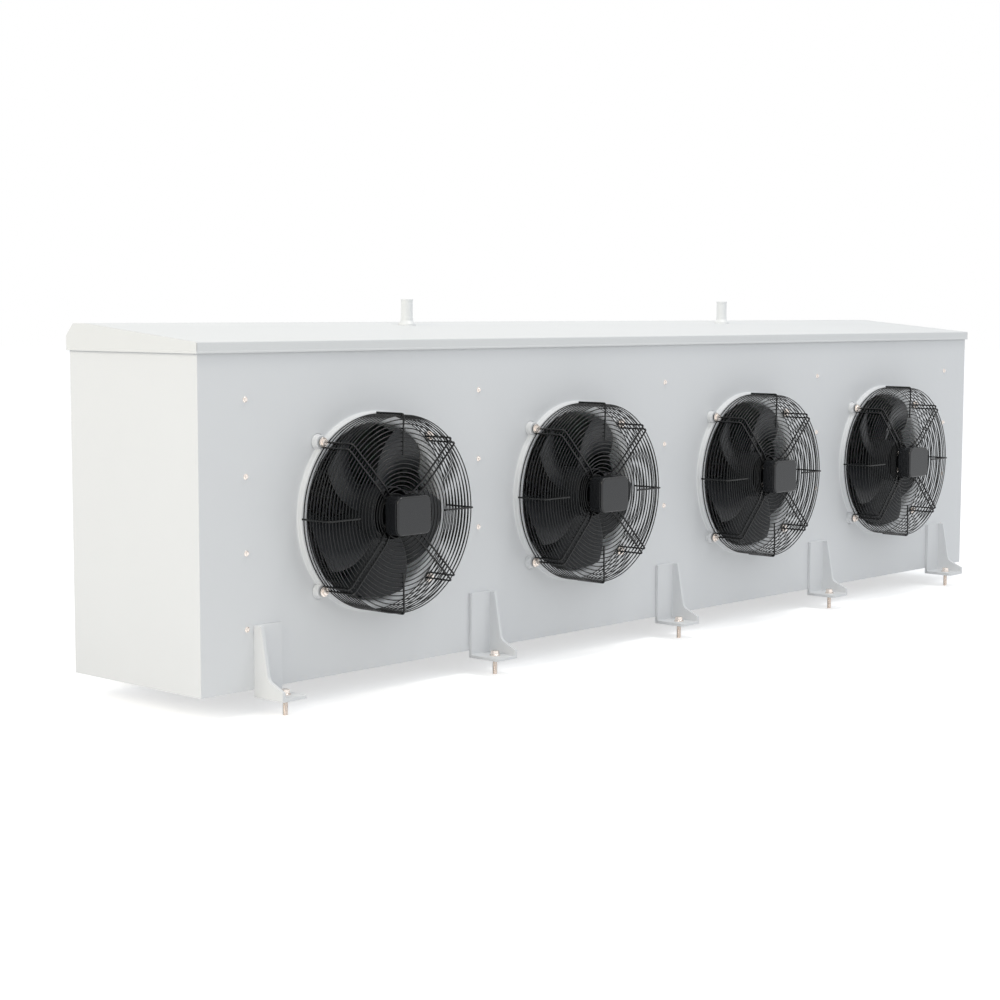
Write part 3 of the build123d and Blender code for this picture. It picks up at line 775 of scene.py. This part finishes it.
@dataclass(frozen=True)
class Impeller:
    """A turning rotor cup on its shaft, with five swept blades."""

    rotor_radius: float = 70.0
    rotor_wall: float = 4.0
    rotor_front: float = 75.0
    rotor_rear: float = 36.0
    plate: float = 6.0
    shaft_radius: float = 8.0
    shaft_front: float = 70.0
    blade_count: int = 5
    stations: tuple = (56.0, 145.0, 222.0)
    chords: tuple = (92.0, 150.0, 205.0)
    pitches: tuple = (38.0, 27.0, 19.0)
    sweeps: tuple = (0.0, 7.0, 22.0)
    camber: float = 0.09
    thickness: float = 3.0
    rotor_segments: int = 96
    radial_steps: int = 30
    round_steps: int = 44

    def blade(self) -> np.ndarray:
        """One blade, as sections on cylinders from the root to the tip.

        Along the radius, chord, pitch and sweep follow the parabola through their three given values. Each
        section goes once round: its place along the chord is half the chord times the cosine of the angle,
        its height is the camber's arch plus half the thickness times the root of the sine. The pitch tilts
        the section, and what lies along the tangent is wrapped round the cylinder.

        Returns:
            Points as sections by steps by three.
        """
        radius = np.linspace(self.stations[0], self.stations[-1], self.radial_steps)
        chord, pitch, sweep = (
            np.polyval(np.polyfit(self.stations, values, 2), radius)[:, None]
            for values in (self.chords, self.pitches, self.sweeps)
        )
        radius, pitch = radius[:, None], np.radians(pitch)
        angle = np.linspace(0, 2 * math.pi, self.round_steps, endpoint=False)[None]
        along = chord / 2 * np.cos(angle)
        arch = self.camber * chord * (1 - np.cos(angle) ** 2)
        height = arch + self.thickness / 2 * np.sign(np.sin(angle)) * np.sqrt(np.abs(np.sin(angle)))
        around = np.radians(-sweep) + (along * np.cos(pitch) - height * np.sin(pitch)) / radius
        out = along * np.sin(pitch) + height * np.cos(pitch)
        return np.stack([radius * np.cos(around), radius * np.sin(around), out], axis=-1)

    def build(self, place: FanPlace) -> None:
        """Makes the impeller at a fan's place, on the fan's own body."""
        inner, floor = self.rotor_radius - self.rotor_wall, self.plate - self.rotor_rear
        corners = [
            (0, -self.rotor_rear), (self.rotor_radius, -self.rotor_rear),
            (self.rotor_radius, self.rotor_front), (inner, self.rotor_front), (inner, floor),
            (self.shaft_radius, floor), (self.shaft_radius, self.shaft_front), (0, self.shaft_front),
        ]
        profile = rounded(corners, [0, 5, 1.5, 1, 3, 1, 1, 0], steps=4)
        shells = Shells()
        shells.add_rings(place.put(revolved(profile, self.rotor_segments)))
        points = self.blade()
        for step in range(self.blade_count):
            shells.add_rings(place.put(turned(points, 360.0 / self.blade_count * step)), capped=True)
        made = shells.build(f"fan_wheel_{place.number}", sharp_degrees=50.0)
        finish_piece(made, BLADE, f"fan_{place.number}", f"impeller_{place.number}")


@dataclass(frozen=True)
class TerminalBox:
    """A moulded box on the motor's neck, closed by a lid with softly rounded edges."""

    width: float = 120.0
    height: float = 100.0
    corner: float = 19.0
    base_rise: float = 108.0
    body_depth: float = 41.0
    lid_depth: float = 8.0
    edge_round: float = 5.0
    seam: float = 0.6
    seam_edge: float = 0.6
    seam_inset: float = 1.6

    def block(self, place: FanPlace, layers: list[tuple[float, float]]) -> Shells:
        """A rounded block made of stacked outlines.

        Args:
            place: The fan's place.
            layers: How far each outline stands in from the box's outline, and its rise.

        Returns:
            The closed block.
        """
        rings = []
        for inset, rise in layers:
            ring = rounded_rectangle(self.width - 2 * inset, self.height - 2 * inset, self.corner - inset)
            rings.append(np.column_stack([ring, np.full(len(ring), rise)]))
        shells = Shells()
        shells.add_rings(place.put(np.stack(rings)), capped=True)
        return shells

    def build(self, place: FanPlace) -> None:
        """Makes the box and its lid at a fan's place."""
        top, edge = self.base_rise + self.body_depth, self.seam_edge
        under, front = top - self.seam, top + self.lid_depth
        angle = np.radians(np.linspace(0, 90, 7))
        inset = (self.edge_round * (1 - np.cos(angle))).tolist()
        step = self.edge_round * (1 - np.sin(angle))
        curve = list(zip(inset, (self.base_rise + step).tolist()))[::-1]
        body = [*curve, (0.0, under - edge), (edge, under), (self.seam_inset, under), (self.seam_inset, top)]
        made = self.block(place, body).build(f"terminal_base_{place.number}", weighted=True)
        finish_piece(made, LID, CASING, f"terminal_box_{place.number}")
        lid = [(edge, top), (0.0, top + edge), *zip(inset, (front - step).tolist())]
        made = self.block(place, lid).build(f"terminal_cover_{place.number}", weighted=True)
        finish_piece(made, LID, CASING, f"terminal_lid_{place.number}")


@dataclass(frozen=True)
class HexBolt:
    """A flanged hexagon bolt that points up along its own axis, with its origin under the head."""

    shank: float
    length: float
    flange: float
    flange_height: float
    across: float
    head_height: float
    plain: float = 0.0
    thread_pitch: float = 0.0
    sides: int = 36
    tip_share: float = 0.82
    tip_chamfer: float = 1.0
    turn_rows: int = 6
    thread_depth: float = 0.55
    edge: float = 0.5
    crown: float = 1.4
    crown_share: float = 1.07
    top_share: float = 0.9

    def hexagon(self, angle: np.ndarray, apothem: float) -> np.ndarray:
        """Radius of a hexagon at an angle: the apothem over the cosine of the angle to the nearest flat."""
        return apothem / np.cos((angle + math.pi / 6) % (math.pi / 3) - math.pi / 6)

    def surface(self) -> np.ndarray:
        """Rings of points from the tip to the top of the head.

        A thread is the shank's radius less a saw of the height over the pitch, less the share of a turn.

        Returns:
            Points as rings by sides by three.
        """
        angle = np.linspace(0, 2 * math.pi, self.sides, endpoint=False)
        apothem = self.across / 2
        start, end = self.tip_chamfer - self.length, -self.plain
        radii, rises = [0 * angle + self.shank * self.tip_share], [-self.length]
        if self.thread_pitch:
            rows = int((self.length - self.plain) / self.thread_pitch * self.turn_rows)
            for rise in np.linspace(start, end, rows):
                phase = (rise / self.thread_pitch - angle / (2 * math.pi)) % 1.0
                radii.append(self.shank - self.thread_depth * self.thread_pitch * np.abs(2 * phase - 1))
                rises.append(rise)
        radii += [0 * angle + self.shank, 0 * angle + self.shank, 0 * angle + self.flange]
        rises += [end if self.thread_pitch else start, 0.0, 0.0]
        radii += [0 * angle + self.flange, 0 * angle + self.flange - self.edge]
        rises += [self.flange_height - self.edge, self.flange_height]
        flats = self.hexagon(angle, apothem)
        radii += [flats + self.edge, flats, flats]
        rises += [self.flange_height + self.edge, self.flange_height + 2 * self.edge]
        radii += [np.minimum(flats, apothem * self.crown_share), 0 * angle + apothem * self.top_share]
        rises += [self.head_height - self.crown, self.head_height - self.edge, self.head_height]
        radius, rise = np.stack(radii), np.array(rises)[:, None]
        return np.stack([radius * np.cos(angle), radius * np.sin(angle), rise + 0 * angle], axis=-1)


@dataclass(frozen=True)
class Fasteners:
    """Every bolt and screw, in the groups that the frame has."""

    guard_bolt: HexBolt = HexBolt(5.0, 29.0, 12.8, 3.0, 16.0, 10.0)
    motor_bolt: HexBolt = HexBolt(4.0, 11.5, 8.8, 1.6, 11.0, 6.0)
    panel_screw: HexBolt = HexBolt(3.0, 11.0, 7.2, 1.3, 8.6, 5.0)
    bracket_bolt: HexBolt = HexBolt(6.95, 51.5, 14.5, 3.0, 21.0, 14.0, plain=10.0, thread_pitch=2.0)
    ear_circle: float = 268.0
    ear_top: float = 21.3
    motor_circle: float = 39.0
    motor_top: float = 91.1
    bay_pitch: float = 827.0
    row_middle: float = 496.4
    row_pitch: float = 188.3
    row_count: int = 4
    bracket_bolt_side: float = 45.5
    bracket_bolt_reach: float = 63.0
    foot_top: float = 51.5

    def on_fans(self, places: list[FanPlace], bolt: HexBolt, circle: float, rise: float) -> Shells:
        """One bolt on each diagonal of each fan, at a radius and a rise."""
        shells = Shells()
        points = bolt.surface() + (0, 0, rise)
        points[..., 0] += circle
        for place in places:
            for angle in DIAGONALS:
                shells.add_rings(place.put(turned(points, angle)), capped=True)
        return shells

    def build(self, places: list[FanPlace]) -> None:
        """Makes the four groups."""
        shells = self.on_fans(places, self.guard_bolt, self.ear_circle, self.ear_top)
        finish_piece(shells.build("guard_hex_bolts"), ZINC, CASING, "guard_bolts")
        shells = self.on_fans(places, self.motor_bolt, self.motor_circle, self.motor_top)
        finish_piece(shells.build("motor_hex_bolts"), ZINC, CASING, "motor_bolts")
        face = places[0].face_y
        shells = Shells()
        points = self.panel_screw.surface()
        across, up, out = points[..., 0], points[..., 1], points[..., 2]
        for column in (-2, -1, 0, 1, 2):
            for row in range(self.row_count):
                height = self.row_middle + self.row_pitch * (row - (self.row_count - 1) / 2)
                if row or abs(column) == 2:
                    x = column * self.bay_pitch
                    shells.add_rings(np.stack([x + across, face - out, height + up], axis=-1), capped=True)
        finish_piece(shells.build("panel_hex_screws"), ZINC, CASING, "panel_screws")
        shells = Shells()
        points = self.bracket_bolt.surface()
        for node in BRACKET_NODES:
            x, y = self.bracket_axis(node)
            shells.add_rings(points + (x, y, self.foot_top), capped=True)
        made = shells.build("bracket_hex_bolts", sharp_degrees=40.0)
        finish_piece(made, ZINC, CASING, "bracket_bolts")

    def bracket_axis(self, node: str) -> tuple[float, float]:
        """Where a bracket's bolt stands, from the bracket's box: its gusset's outer face and the casing."""
        low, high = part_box(node)
        side = -1 if node.endswith("_1") else 1
        outer = (high.x if side > 0 else low.x) / MM
        at_casing, outward = (high.y, -1) if node.startswith("front") else (low.y, 1)
        return outer - side * self.bracket_bolt_side, at_casing / MM + outward * self.bracket_bolt_reach


BRACKET_NODES = tuple(f"{face}_bracket_{number}" for face in ("front", "rear") for number in range(1, 6))


@dataclass(frozen=True)
class Brackets:
    """Suspension brackets, with the soft edges that their coat gives them."""

    edge_round: float = 1.6
    flat_degrees: float = 1.0
    sharp_degrees: float = 30.0

    def build(self, nodes: dict[str, bpy.types.Object]) -> None:
        """Copies each bracket's solid, merges its corners and rounds its edges.

        Args:
            nodes: The frame's nodes by name.
        """
        for name in BRACKET_NODES:
            mesh = nodes[name].data.copy()
            work = bmesh.new()
            work.from_mesh(mesh)
            bmesh.ops.remove_doubles(work, verts=work.verts, dist=WELD)
            flat = math.radians(self.flat_degrees)
            bmesh.ops.dissolve_limit(work, angle_limit=flat, verts=work.verts, edges=work.edges)
            work.to_mesh(mesh)
            work.free()
            made = bpy.data.objects.new(f"coated_{name}", mesh)
            bpy.context.scene.collection.objects.link(made)
            mesh.polygons.foreach_set("use_smooth", np.ones(len(mesh.polygons), bool))
            mesh.set_sharp_from_angle(angle=math.radians(self.sharp_degrees))
            bevel = made.modifiers.new("soft_edges", "BEVEL")
            bevel.width = self.edge_round * MM
            bevel.segments = 3
            bevel.limit_method = "ANGLE"
            bevel.angle_limit = math.radians(self.sharp_degrees)
            bevel.harden_normals = True
            finish_piece(made, POWDER, CASING, name)


@dataclass(frozen=True)
class DripTray:
    """A folded sheet with a ridge, gables and a hemmed lower edge."""

    overhang: float = 6.5
    sheet: float = 2.0
    front_lip: float = 27.5
    rear_lip: float = 38.0
    ridge_rise: float = 69.0
    ridge_front: float = 437.0
    ridge_rear: float = 488.0
    hem_height: float = 5.0
    hem_proud: float = 0.8
    hem_corner: float = 2.0
    hem_wall: float = 1.0
    hem_edge: float = 0.4
    hem_top_in: float = 0.2
    hem_top_down: float = 0.5
    fold_round: float = 3.0
    ridge_share: float = 0.992
    ridge_drop: float = 0.75
    gable_edge: float = 0.7
    gable_inset: float = 1.0

    def build(self) -> None:
        """Makes the tray where the frame has it."""
        low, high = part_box("drip_tray")
        left, right = low.x / MM + self.hem_proud, high.x / MM - self.hem_proud
        front, rear, foot = low.y / MM + self.hem_proud, high.y / MM - self.hem_proud, low.z / MM
        start = front + self.overhang
        outer = [
            (front, foot), (front, foot + self.front_lip), (start + self.ridge_front, foot + self.ridge_rise),
            (start + self.ridge_rear, foot + self.ridge_rise), (rear, foot + self.rear_lip), (rear, foot),
        ]
        middle = np.array([(front + rear) / 2, foot])
        drop = (0, self.sheet * self.ridge_drop)
        inner = [
            (front + self.sheet, foot),
            (front + self.sheet, foot + self.front_lip - self.sheet),
            *(tuple(middle + (np.array(point) - middle) * self.ridge_share - drop) for point in outer[2:4]),
            (rear - self.sheet, foot + self.rear_lip - self.sheet),
            (rear - self.sheet, foot),
        ]
        radii = [0, self.fold_round, self.fold_round, self.fold_round, self.fold_round, 0]
        section = np.concatenate([rounded(outer, radii, 4), rounded(inner, radii, 4)[::-1]])
        shells = Shells()
        self.carry(shells, section, [left + self.sheet / 2, right - self.sheet / 2])
        gable = rounded(outer, radii, 4)
        centre = gable.mean(axis=0)
        for edge, inward in ((left, 1), (right, -1)):
            rings = []
            for step, inset in ((0.0, self.gable_inset), (self.gable_edge, 0.0), (self.sheet, 0.0)):
                x = np.full(len(gable), edge + inward * step)
                rings.append(np.column_stack([x, gable + self.pull(gable, centre, inset)]))
            shells.add_rings(np.stack(rings), capped=True)
        self.hem(shells, (left, right), (front, rear), foot)
        made = shells.build("ridged_tray", sharp_degrees=28.0, weighted=True)
        finish_piece(made, TRAY_COAT, CASING, "drip_tray")

    @staticmethod
    def pull(outline: np.ndarray, centre: np.ndarray, inset: float) -> np.ndarray:
        """The step that draws each point of an outline towards its centre by a distance."""
        away = outline - centre
        return -away / np.linalg.norm(away, axis=1, keepdims=True) * inset

    @staticmethod
    def carry(shells: Shells, section: np.ndarray, stations: list[float]) -> None:
        """Carries a closed section along X, with an end face at the first and last station."""
        rings = [np.column_stack([np.full(len(section), x), section]) for x in stations]
        shells.add_rings(np.stack(rings), capped=True)

    def hem(
        self, shells: Shells, span_x: tuple[float, float], span_y: tuple[float, float], foot: float
    ) -> None:
        """The hem: a narrow band round the lower edge, its outlines stacked up one face and down the other.

        Args:
            shells: Where the band goes.
            span_x: The tray's left and right faces.
            span_y: The tray's front and rear faces.
            foot: The lower edge's height.
        """
        width, depth = span_x[1] - span_x[0], span_y[1] - span_y[0]
        centre = np.array([(span_x[0] + span_x[1]) / 2, (span_y[0] + span_y[1]) / 2])
        proud, wall, top = self.hem_proud, -self.hem_wall, foot + self.hem_height
        layers = (
            (proud, foot + self.hem_edge), (proud, top - self.hem_top_down), (self.hem_top_in, top),
            (wall, top), (wall, foot), (self.hem_edge, foot),
        )
        rings = []
        for out, rise in layers:
            ring = rounded_rectangle(width + 2 * out, depth + 2 * out, self.hem_corner, 3) + centre
            rings.append(np.column_stack([ring, np.full(len(ring), rise)]))
        shells.add_rings(np.stack(rings), joined=True)


@dataclass(frozen=True)
class DrainOutlet:
    """A moulded stub with a flared foot, a socket and a rimmed mouth."""

    radius: float = 17.0
    bore: float = 14.0
    flare: float = 25.0
    flare_foot: float = 4.0
    flare_rise: float = 13.0
    socket_rise: float = 22.0
    socket_radius: float = 17.9
    rim_height: float = 5.0
    sink: float = 6.0
    stub: float = 74.0
    rim_step: float = 0.8
    rounds: tuple = (0, 0, 1.5, 4, 0.4, 0.3, 0.5, 0.5, 0.7, 0.7)
    segments: int = 64

    def build(self, node: str, name: str) -> None:
        """Makes one outlet over its node.

        Args:
            node: The frame's node.
            name: Name of the piece.
        """
        low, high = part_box(node)
        middle = np.array([(low.x + high.x) / 2, (low.y + high.y) / 2, 0]) / MM
        top = high.z / MM
        foot = top - self.stub
        corners = [
            (self.bore, foot - self.sink), (self.flare, foot - self.sink),
            (self.flare, foot + self.flare_foot), (self.socket_radius, foot + self.flare_rise),
            (self.socket_radius, foot + self.socket_rise), (self.radius, foot + self.socket_rise),
            (self.radius, top - self.rim_height), (self.socket_radius, top - self.rim_height + self.rim_step),
            (self.socket_radius, top), (self.bore, top),
        ]
        profile = rounded(corners, self.rounds, 4, closed=True)
        shells = Shells()
        shells.add_rings(revolved(profile, self.segments) + middle, joined=True)
        finish_piece(shells.build(name, weighted=True), DRAIN, CASING, node)


@dataclass(frozen=True)
class Coil:
    """Thin fins on round copper tubes, with their return bends and headers."""

    fin_pitch: float = 7.0
    fin_thickness: float = 0.4
    fin_margin: float = 3.0
    web_front: float = -150.0
    web_rear: float = 250.0
    tube_radius: float = 6.0
    tube_sides: int = 16
    passes: int = 6
    bend_round: float = 38.0
    header_step: float = 3.0
    header_wall: float = 2.0
    header_plug: float = 30.0
    header_segments: int = 48
    connection_reach: float = 60.0

    def fins(self) -> None:
        """Fills each bay with thin plates at one pitch, between the webs that bound it."""
        edges = [self.web_sides(name) for name in SheetWork.galvanised]
        half = self.fin_thickness / 2
        for bay in range(1, len(edges)):
            node = f"fin_pack_{bay}"
            low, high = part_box(node)
            first, last = edges[bay - 1][1] + self.fin_margin, edges[bay][0] - self.fin_margin
            places = np.linspace(first, last, int((last - first) / self.fin_pitch) + 1)
            shells = Shells()
            for x in places:
                points = box_points((x - half, low.y / MM, low.z / MM), (x + half, high.y / MM, high.z / MM))
                shells.add(points, box_faces())
            finish_piece(shells.build(f"thin_fins_{bay}"), FINS, CASING, node)

    def web_sides(self, node: str) -> tuple[float, float]:
        """The lowest and highest X of a partition's points between its front and rear folds."""
        mesh = bpy.data.objects[node].data
        points = np.empty(len(mesh.vertices) * 3)
        mesh.vertices.foreach_get("co", points)
        points = points.reshape(-1, 3) / MM
        inner = points[(points[:, 1] > self.web_front) & (points[:, 1] < self.web_rear)]
        return float(inner[:, 0].min()), float(inner[:, 0].max())

    def tubes(self) -> None:
        """Makes the straight runs, one round tube for each pass of each row."""
        shells = Shells()
        low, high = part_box("coil_tubes")
        for y, z in self.rows("coil_tubes"):
            path = np.array([(low.x / MM, y, z), (0, y, z), (high.x / MM, y, z)])
            shells.add_rings(wire(path, self.tube_radius, self.tube_sides), capped=True)
        finish_piece(shells.build("round_tubes"), COPPER, CASING, "coil_tubes")

    def rows(self, node: str) -> list[tuple[float, float]]:
        """Depth and height of each tube, from the node's box and its two rows of six passes."""
        low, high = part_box(node)
        reach = self.tube_radius
        ys = (low.y / MM + reach, high.y / MM - reach)
        tall = reach * math.sqrt(3) / 2
        zs = np.linspace(low.z / MM + tall, high.z / MM - tall, self.passes)
        return [(y, float(z)) for y in ys for z in zs]

    def bends(self, side: int) -> None:
        """Makes the return bends of one end.

        Args:
            side: Minus one at the left end, one at the right.
        """
        word = "left" if side < 0 else "right"
        node = f"{word}_return_bends"
        low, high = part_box(node)
        foot, turn = (high.x, low.x) if side < 0 else (low.x, high.x)
        turn = turn / MM - side * self.tube_radius
        rows = self.rows("coil_tubes")
        shells = Shells()
        for row in (rows[: self.passes], rows[self.passes :]):
            passes = row[0 if side < 0 else 1 :]
            for lower, upper in zip(passes[::2], passes[1::2]):
                corners = [
                    (foot / MM, lower[0], lower[1]), (turn, lower[0], lower[1]),
                    (turn, upper[0], upper[1]), (foot / MM, upper[0], upper[1]),
                ]
                path = rounded(corners, [0, self.bend_round, self.bend_round, 0], 12)
                shells.add_rings(wire(path, self.tube_radius, self.tube_sides), capped=True)
        finish_piece(shells.build(f"{word}_u_bends"), COPPER, CASING, node)

    def header(self, node: str, name: str) -> None:
        """Makes one header: a closed pipe with a narrower connection, and a leg to each row.

        Args:
            node: The frame's node.
            name: Name of the piece.
        """
        low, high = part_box(node)
        radius = (high.z - low.z) / 2 / MM
        x, z = high.x / MM - radius, (low.z + high.z) / 2 / MM
        front, rear = low.y / MM, high.y / MM
        neck, end = rear - self.connection_reach, radius - self.header_step
        profile = rounded(
            [
                (0, front), (radius, front), (radius, neck), (end, neck), (end, rear),
                (end - self.header_wall, rear), (end - self.header_wall, neck - self.header_plug),
                (0, neck - self.header_plug),
            ],
            [0, 4, 1.5, 1, 0.4, 0.4, 0, 0],
            4,
        )
        turn = revolved(profile, self.header_segments)
        shells = Shells()
        shells.add_rings(np.stack([x + turn[..., 0], turn[..., 2], z + turn[..., 1]], axis=-1))
        for y in sorted({row[0] for row in self.rows("coil_tubes")}):
            path = np.array([(low.x / MM, y, z), ((low.x / MM + x) / 2, y, z), (x - end, y, z)])
            shells.add_rings(wire(path, self.tube_radius, self.tube_sides), capped=True)
        finish_piece(shells.build(name), COPPER, CASING, node)

    def build(self) -> None:
        """Makes the whole coil."""
        self.fins()
        self.tubes()
        self.bends(-1)
        self.bends(1)
        self.header("liquid_header", "liquid_pipe")
        self.header("suction_header", "suction_pipe")


@dataclass(frozen=True)
class SheetWork:
    """The frame's own sheet pieces, which keep their meshes and get their finish."""

    coated: tuple = ("front_panel", "base_panel", "left_end_cover", "right_end_cover")
    galvanised: tuple = (
        "left_tube_sheet", "left_partition", "middle_partition", "right_partition", "right_tube_sheet",
    )

    def build(self, nodes: dict[str, bpy.types.Object]) -> None:
        """Dresses each piece."""
        for names, finish in ((self.coated, POWDER), (self.galvanised, GALVANISED)):
            for name in names:
                finish.dress(nodes[name])
                log.info("%s: %s", name, finish.name)


@dataclass(frozen=True)
class Lamp:
    """A soft area lamp, in metres and watts."""

    name: str
    place: tuple[float, float, float]
    target: tuple[float, float, float]
    size: float
    power: float
    colour: tuple[float, float, float]

    def build(self) -> None:
        """Adds the lamp, turned towards its target."""
        data = bpy.data.lights.new(self.name, "AREA")
        data.size = self.size
        data.energy = self.power
        data.color = self.colour
        made = bpy.data.objects.new(self.name, data)
        made.location = self.place
        back = np.array(self.place) - np.array(self.target)
        back /= np.linalg.norm(back)
        side = np.cross((0, 0, 1), back)
        side /= np.linalg.norm(side)
        columns = np.stack([side, np.cross(back, side), back], axis=1)
        made.matrix_world = Matrix.Translation(self.place) @ Matrix(columns.tolist()).to_4x4()
        bpy.context.scene.collection.objects.link(made)


@dataclass(frozen=True)
class Studio:
    """A plain pale floor, soft lamps, a white surround and the photograph's camera. Sizes are in metres."""

    floor_half: float = 40.0
    floor_colour: float = 0.80
    floor_glow: float = 0.55
    fill: float = 0.68
    fill_colour: tuple = (0.948, 0.985, 1.022)
    lens: float = 71.0
    camera_place: tuple = (-4.7559, -3.9303, 0.9979)
    camera_yaw: float = 0.8264
    camera_pitch: float = -0.0963
    camera_roll: float = 0.0024
    lamps: tuple = (
        Lamp("key", (-7.5, -0.4, 4.0), (-1.8, 0.0, 0.5), 4.0, 180.0, (1.0, 0.92, 0.76)),
        Lamp("overhead", (0.5, -1.5, 6.5), (0.3, 0.0, 0.8), 1.2, 90.0, (1.0, 0.985, 0.96)),
        Lamp("front", (-1.0, -8.0, 3.0), (0.3, 0.0, 0.5), 5.0, 14.0, (0.96, 0.98, 1.0)),
    )

    def floor(self) -> None:
        """Lays the floor: it glows a little for the camera and for reflections, so that it meets the
        surround in white and still takes the object's shadow."""
        half = self.floor_half
        mesh = bpy.data.meshes.new("floor")
        corners = [(-half, -half, 0), (half, -half, 0), (half, half, 0), (-half, half, 0)]
        mesh.from_pydata(corners, [], [(0, 1, 2, 3)])
        made = bpy.data.objects.new("floor", mesh)
        bpy.context.scene.collection.objects.link(made)
        material = bpy.data.materials.new("pale_floor")
        material.use_nodes = True
        tree = material.node_tree
        tree.nodes.clear()
        out = tree.nodes.new("ShaderNodeOutputMaterial")
        matt = tree.nodes.new("ShaderNodeBsdfDiffuse")
        matt.inputs["Color"].default_value = (self.floor_colour,) * 3 + (1.0,)
        glow = tree.nodes.new("ShaderNodeEmission")
        seen = self.seen(tree)
        tree.links.new(Nodes.math(tree, "MULTIPLY", seen, self.floor_glow), glow.inputs["Strength"])
        both = tree.nodes.new("ShaderNodeAddShader")
        tree.links.new(matt.outputs[0], both.inputs[0])
        tree.links.new(glow.outputs[0], both.inputs[1])
        tree.links.new(both.outputs[0], out.inputs["Surface"])
        mesh.materials.append(material)

    @staticmethod
    def seen(tree: bpy.types.NodeTree) -> bpy.types.NodeSocket:
        """One for rays that show the surround to the camera, direct, reflected or through glass."""
        path = tree.nodes.new("ShaderNodeLightPath")
        first = Nodes.math(tree, "MAXIMUM", path.outputs["Is Camera Ray"], path.outputs["Is Glossy Ray"])
        return Nodes.math(tree, "MAXIMUM", first, path.outputs["Is Transmission Ray"])

    def surround(self) -> None:
        """Makes the world: white to look at, and a softer fill on matt surfaces."""
        world = bpy.data.worlds.new("surround")
        bpy.context.scene.world = world
        world.use_nodes = True
        tree = world.node_tree
        fill = tree.nodes["Background"]
        fill.inputs["Color"].default_value = (*self.fill_colour, 1.0)
        fill.inputs["Strength"].default_value = self.fill
        white = tree.nodes.new("ShaderNodeBackground")
        white.inputs["Color"].default_value = (1.0, 1.0, 1.0, 1.0)
        white.inputs["Strength"].default_value = 1.0
        mix = tree.nodes.new("ShaderNodeMixShader")
        tree.links.new(self.seen(tree), mix.inputs["Fac"])
        tree.links.new(fill.outputs[0], mix.inputs[1])
        tree.links.new(white.outputs[0], mix.inputs[2])
        tree.links.new(mix.outputs[0], tree.nodes["World Output"].inputs["Surface"])

    def camera(self) -> None:
        """Sets the camera: it looks along the yaw and the pitch, rolled a little about its own axis."""
        yaw, pitch, roll = self.camera_yaw, self.camera_pitch, self.camera_roll
        ahead = np.array([math.sin(yaw) * math.cos(pitch), math.cos(yaw) * math.cos(pitch), math.sin(pitch)])
        right = np.array([math.cos(yaw), -math.sin(yaw), 0.0])
        up = np.cross(right, ahead)
        right, up = math.cos(roll) * right + math.sin(roll) * up, math.cos(roll) * up - math.sin(roll) * right
        data = bpy.data.cameras.new("camera")
        data.lens = self.lens
        data.sensor_width = 36.0
        data.clip_end = 200.0
        made = bpy.data.objects.new("camera", data)
        columns = np.stack([right, up, -ahead], axis=1)
        made.matrix_world = Matrix.Translation(self.camera_place) @ Matrix(columns.tolist()).to_4x4()
        bpy.context.scene.collection.objects.link(made)
        bpy.context.scene.camera = made

    def build(self) -> None:
        """Makes the whole studio."""
        bpy.context.scene.view_settings.view_transform = "Standard"
        self.surround()
        self.floor()
        for lamp in self.lamps:
            lamp.build()
        self.camera()


@dataclass(frozen=True)
class EvaporatorUnit:
    """The whole unit, part by part."""

    nodes: dict[str, bpy.types.Object]

    def build(self) -> None:
        """Builds every piece in order, from the casing out to the fasteners."""
        places = [FanPlace.of(number) for number in FANS]
        SheetWork().build(self.nodes)
        DripTray().build()
        DrainOutlet().build("left_drain_outlet", "left_drain_stub")
        DrainOutlet().build("right_drain_outlet", "right_drain_stub")
        Coil().build()
        Brackets().build(self.nodes)
        for part in (NozzleRing(), WireGuard(), FanMotor(), Impeller(), TerminalBox()):
            for place in places:
                part.build(place)
        Fasteners().build(places)


def main() -> None:
    logging.basicConfig(level=logging.INFO, format="%(name)s: %(message)s")
    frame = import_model()
    Studio().build()
    EvaporatorUnit(frame["nodes"]).build()


if __name__ == "__main__":
    main()
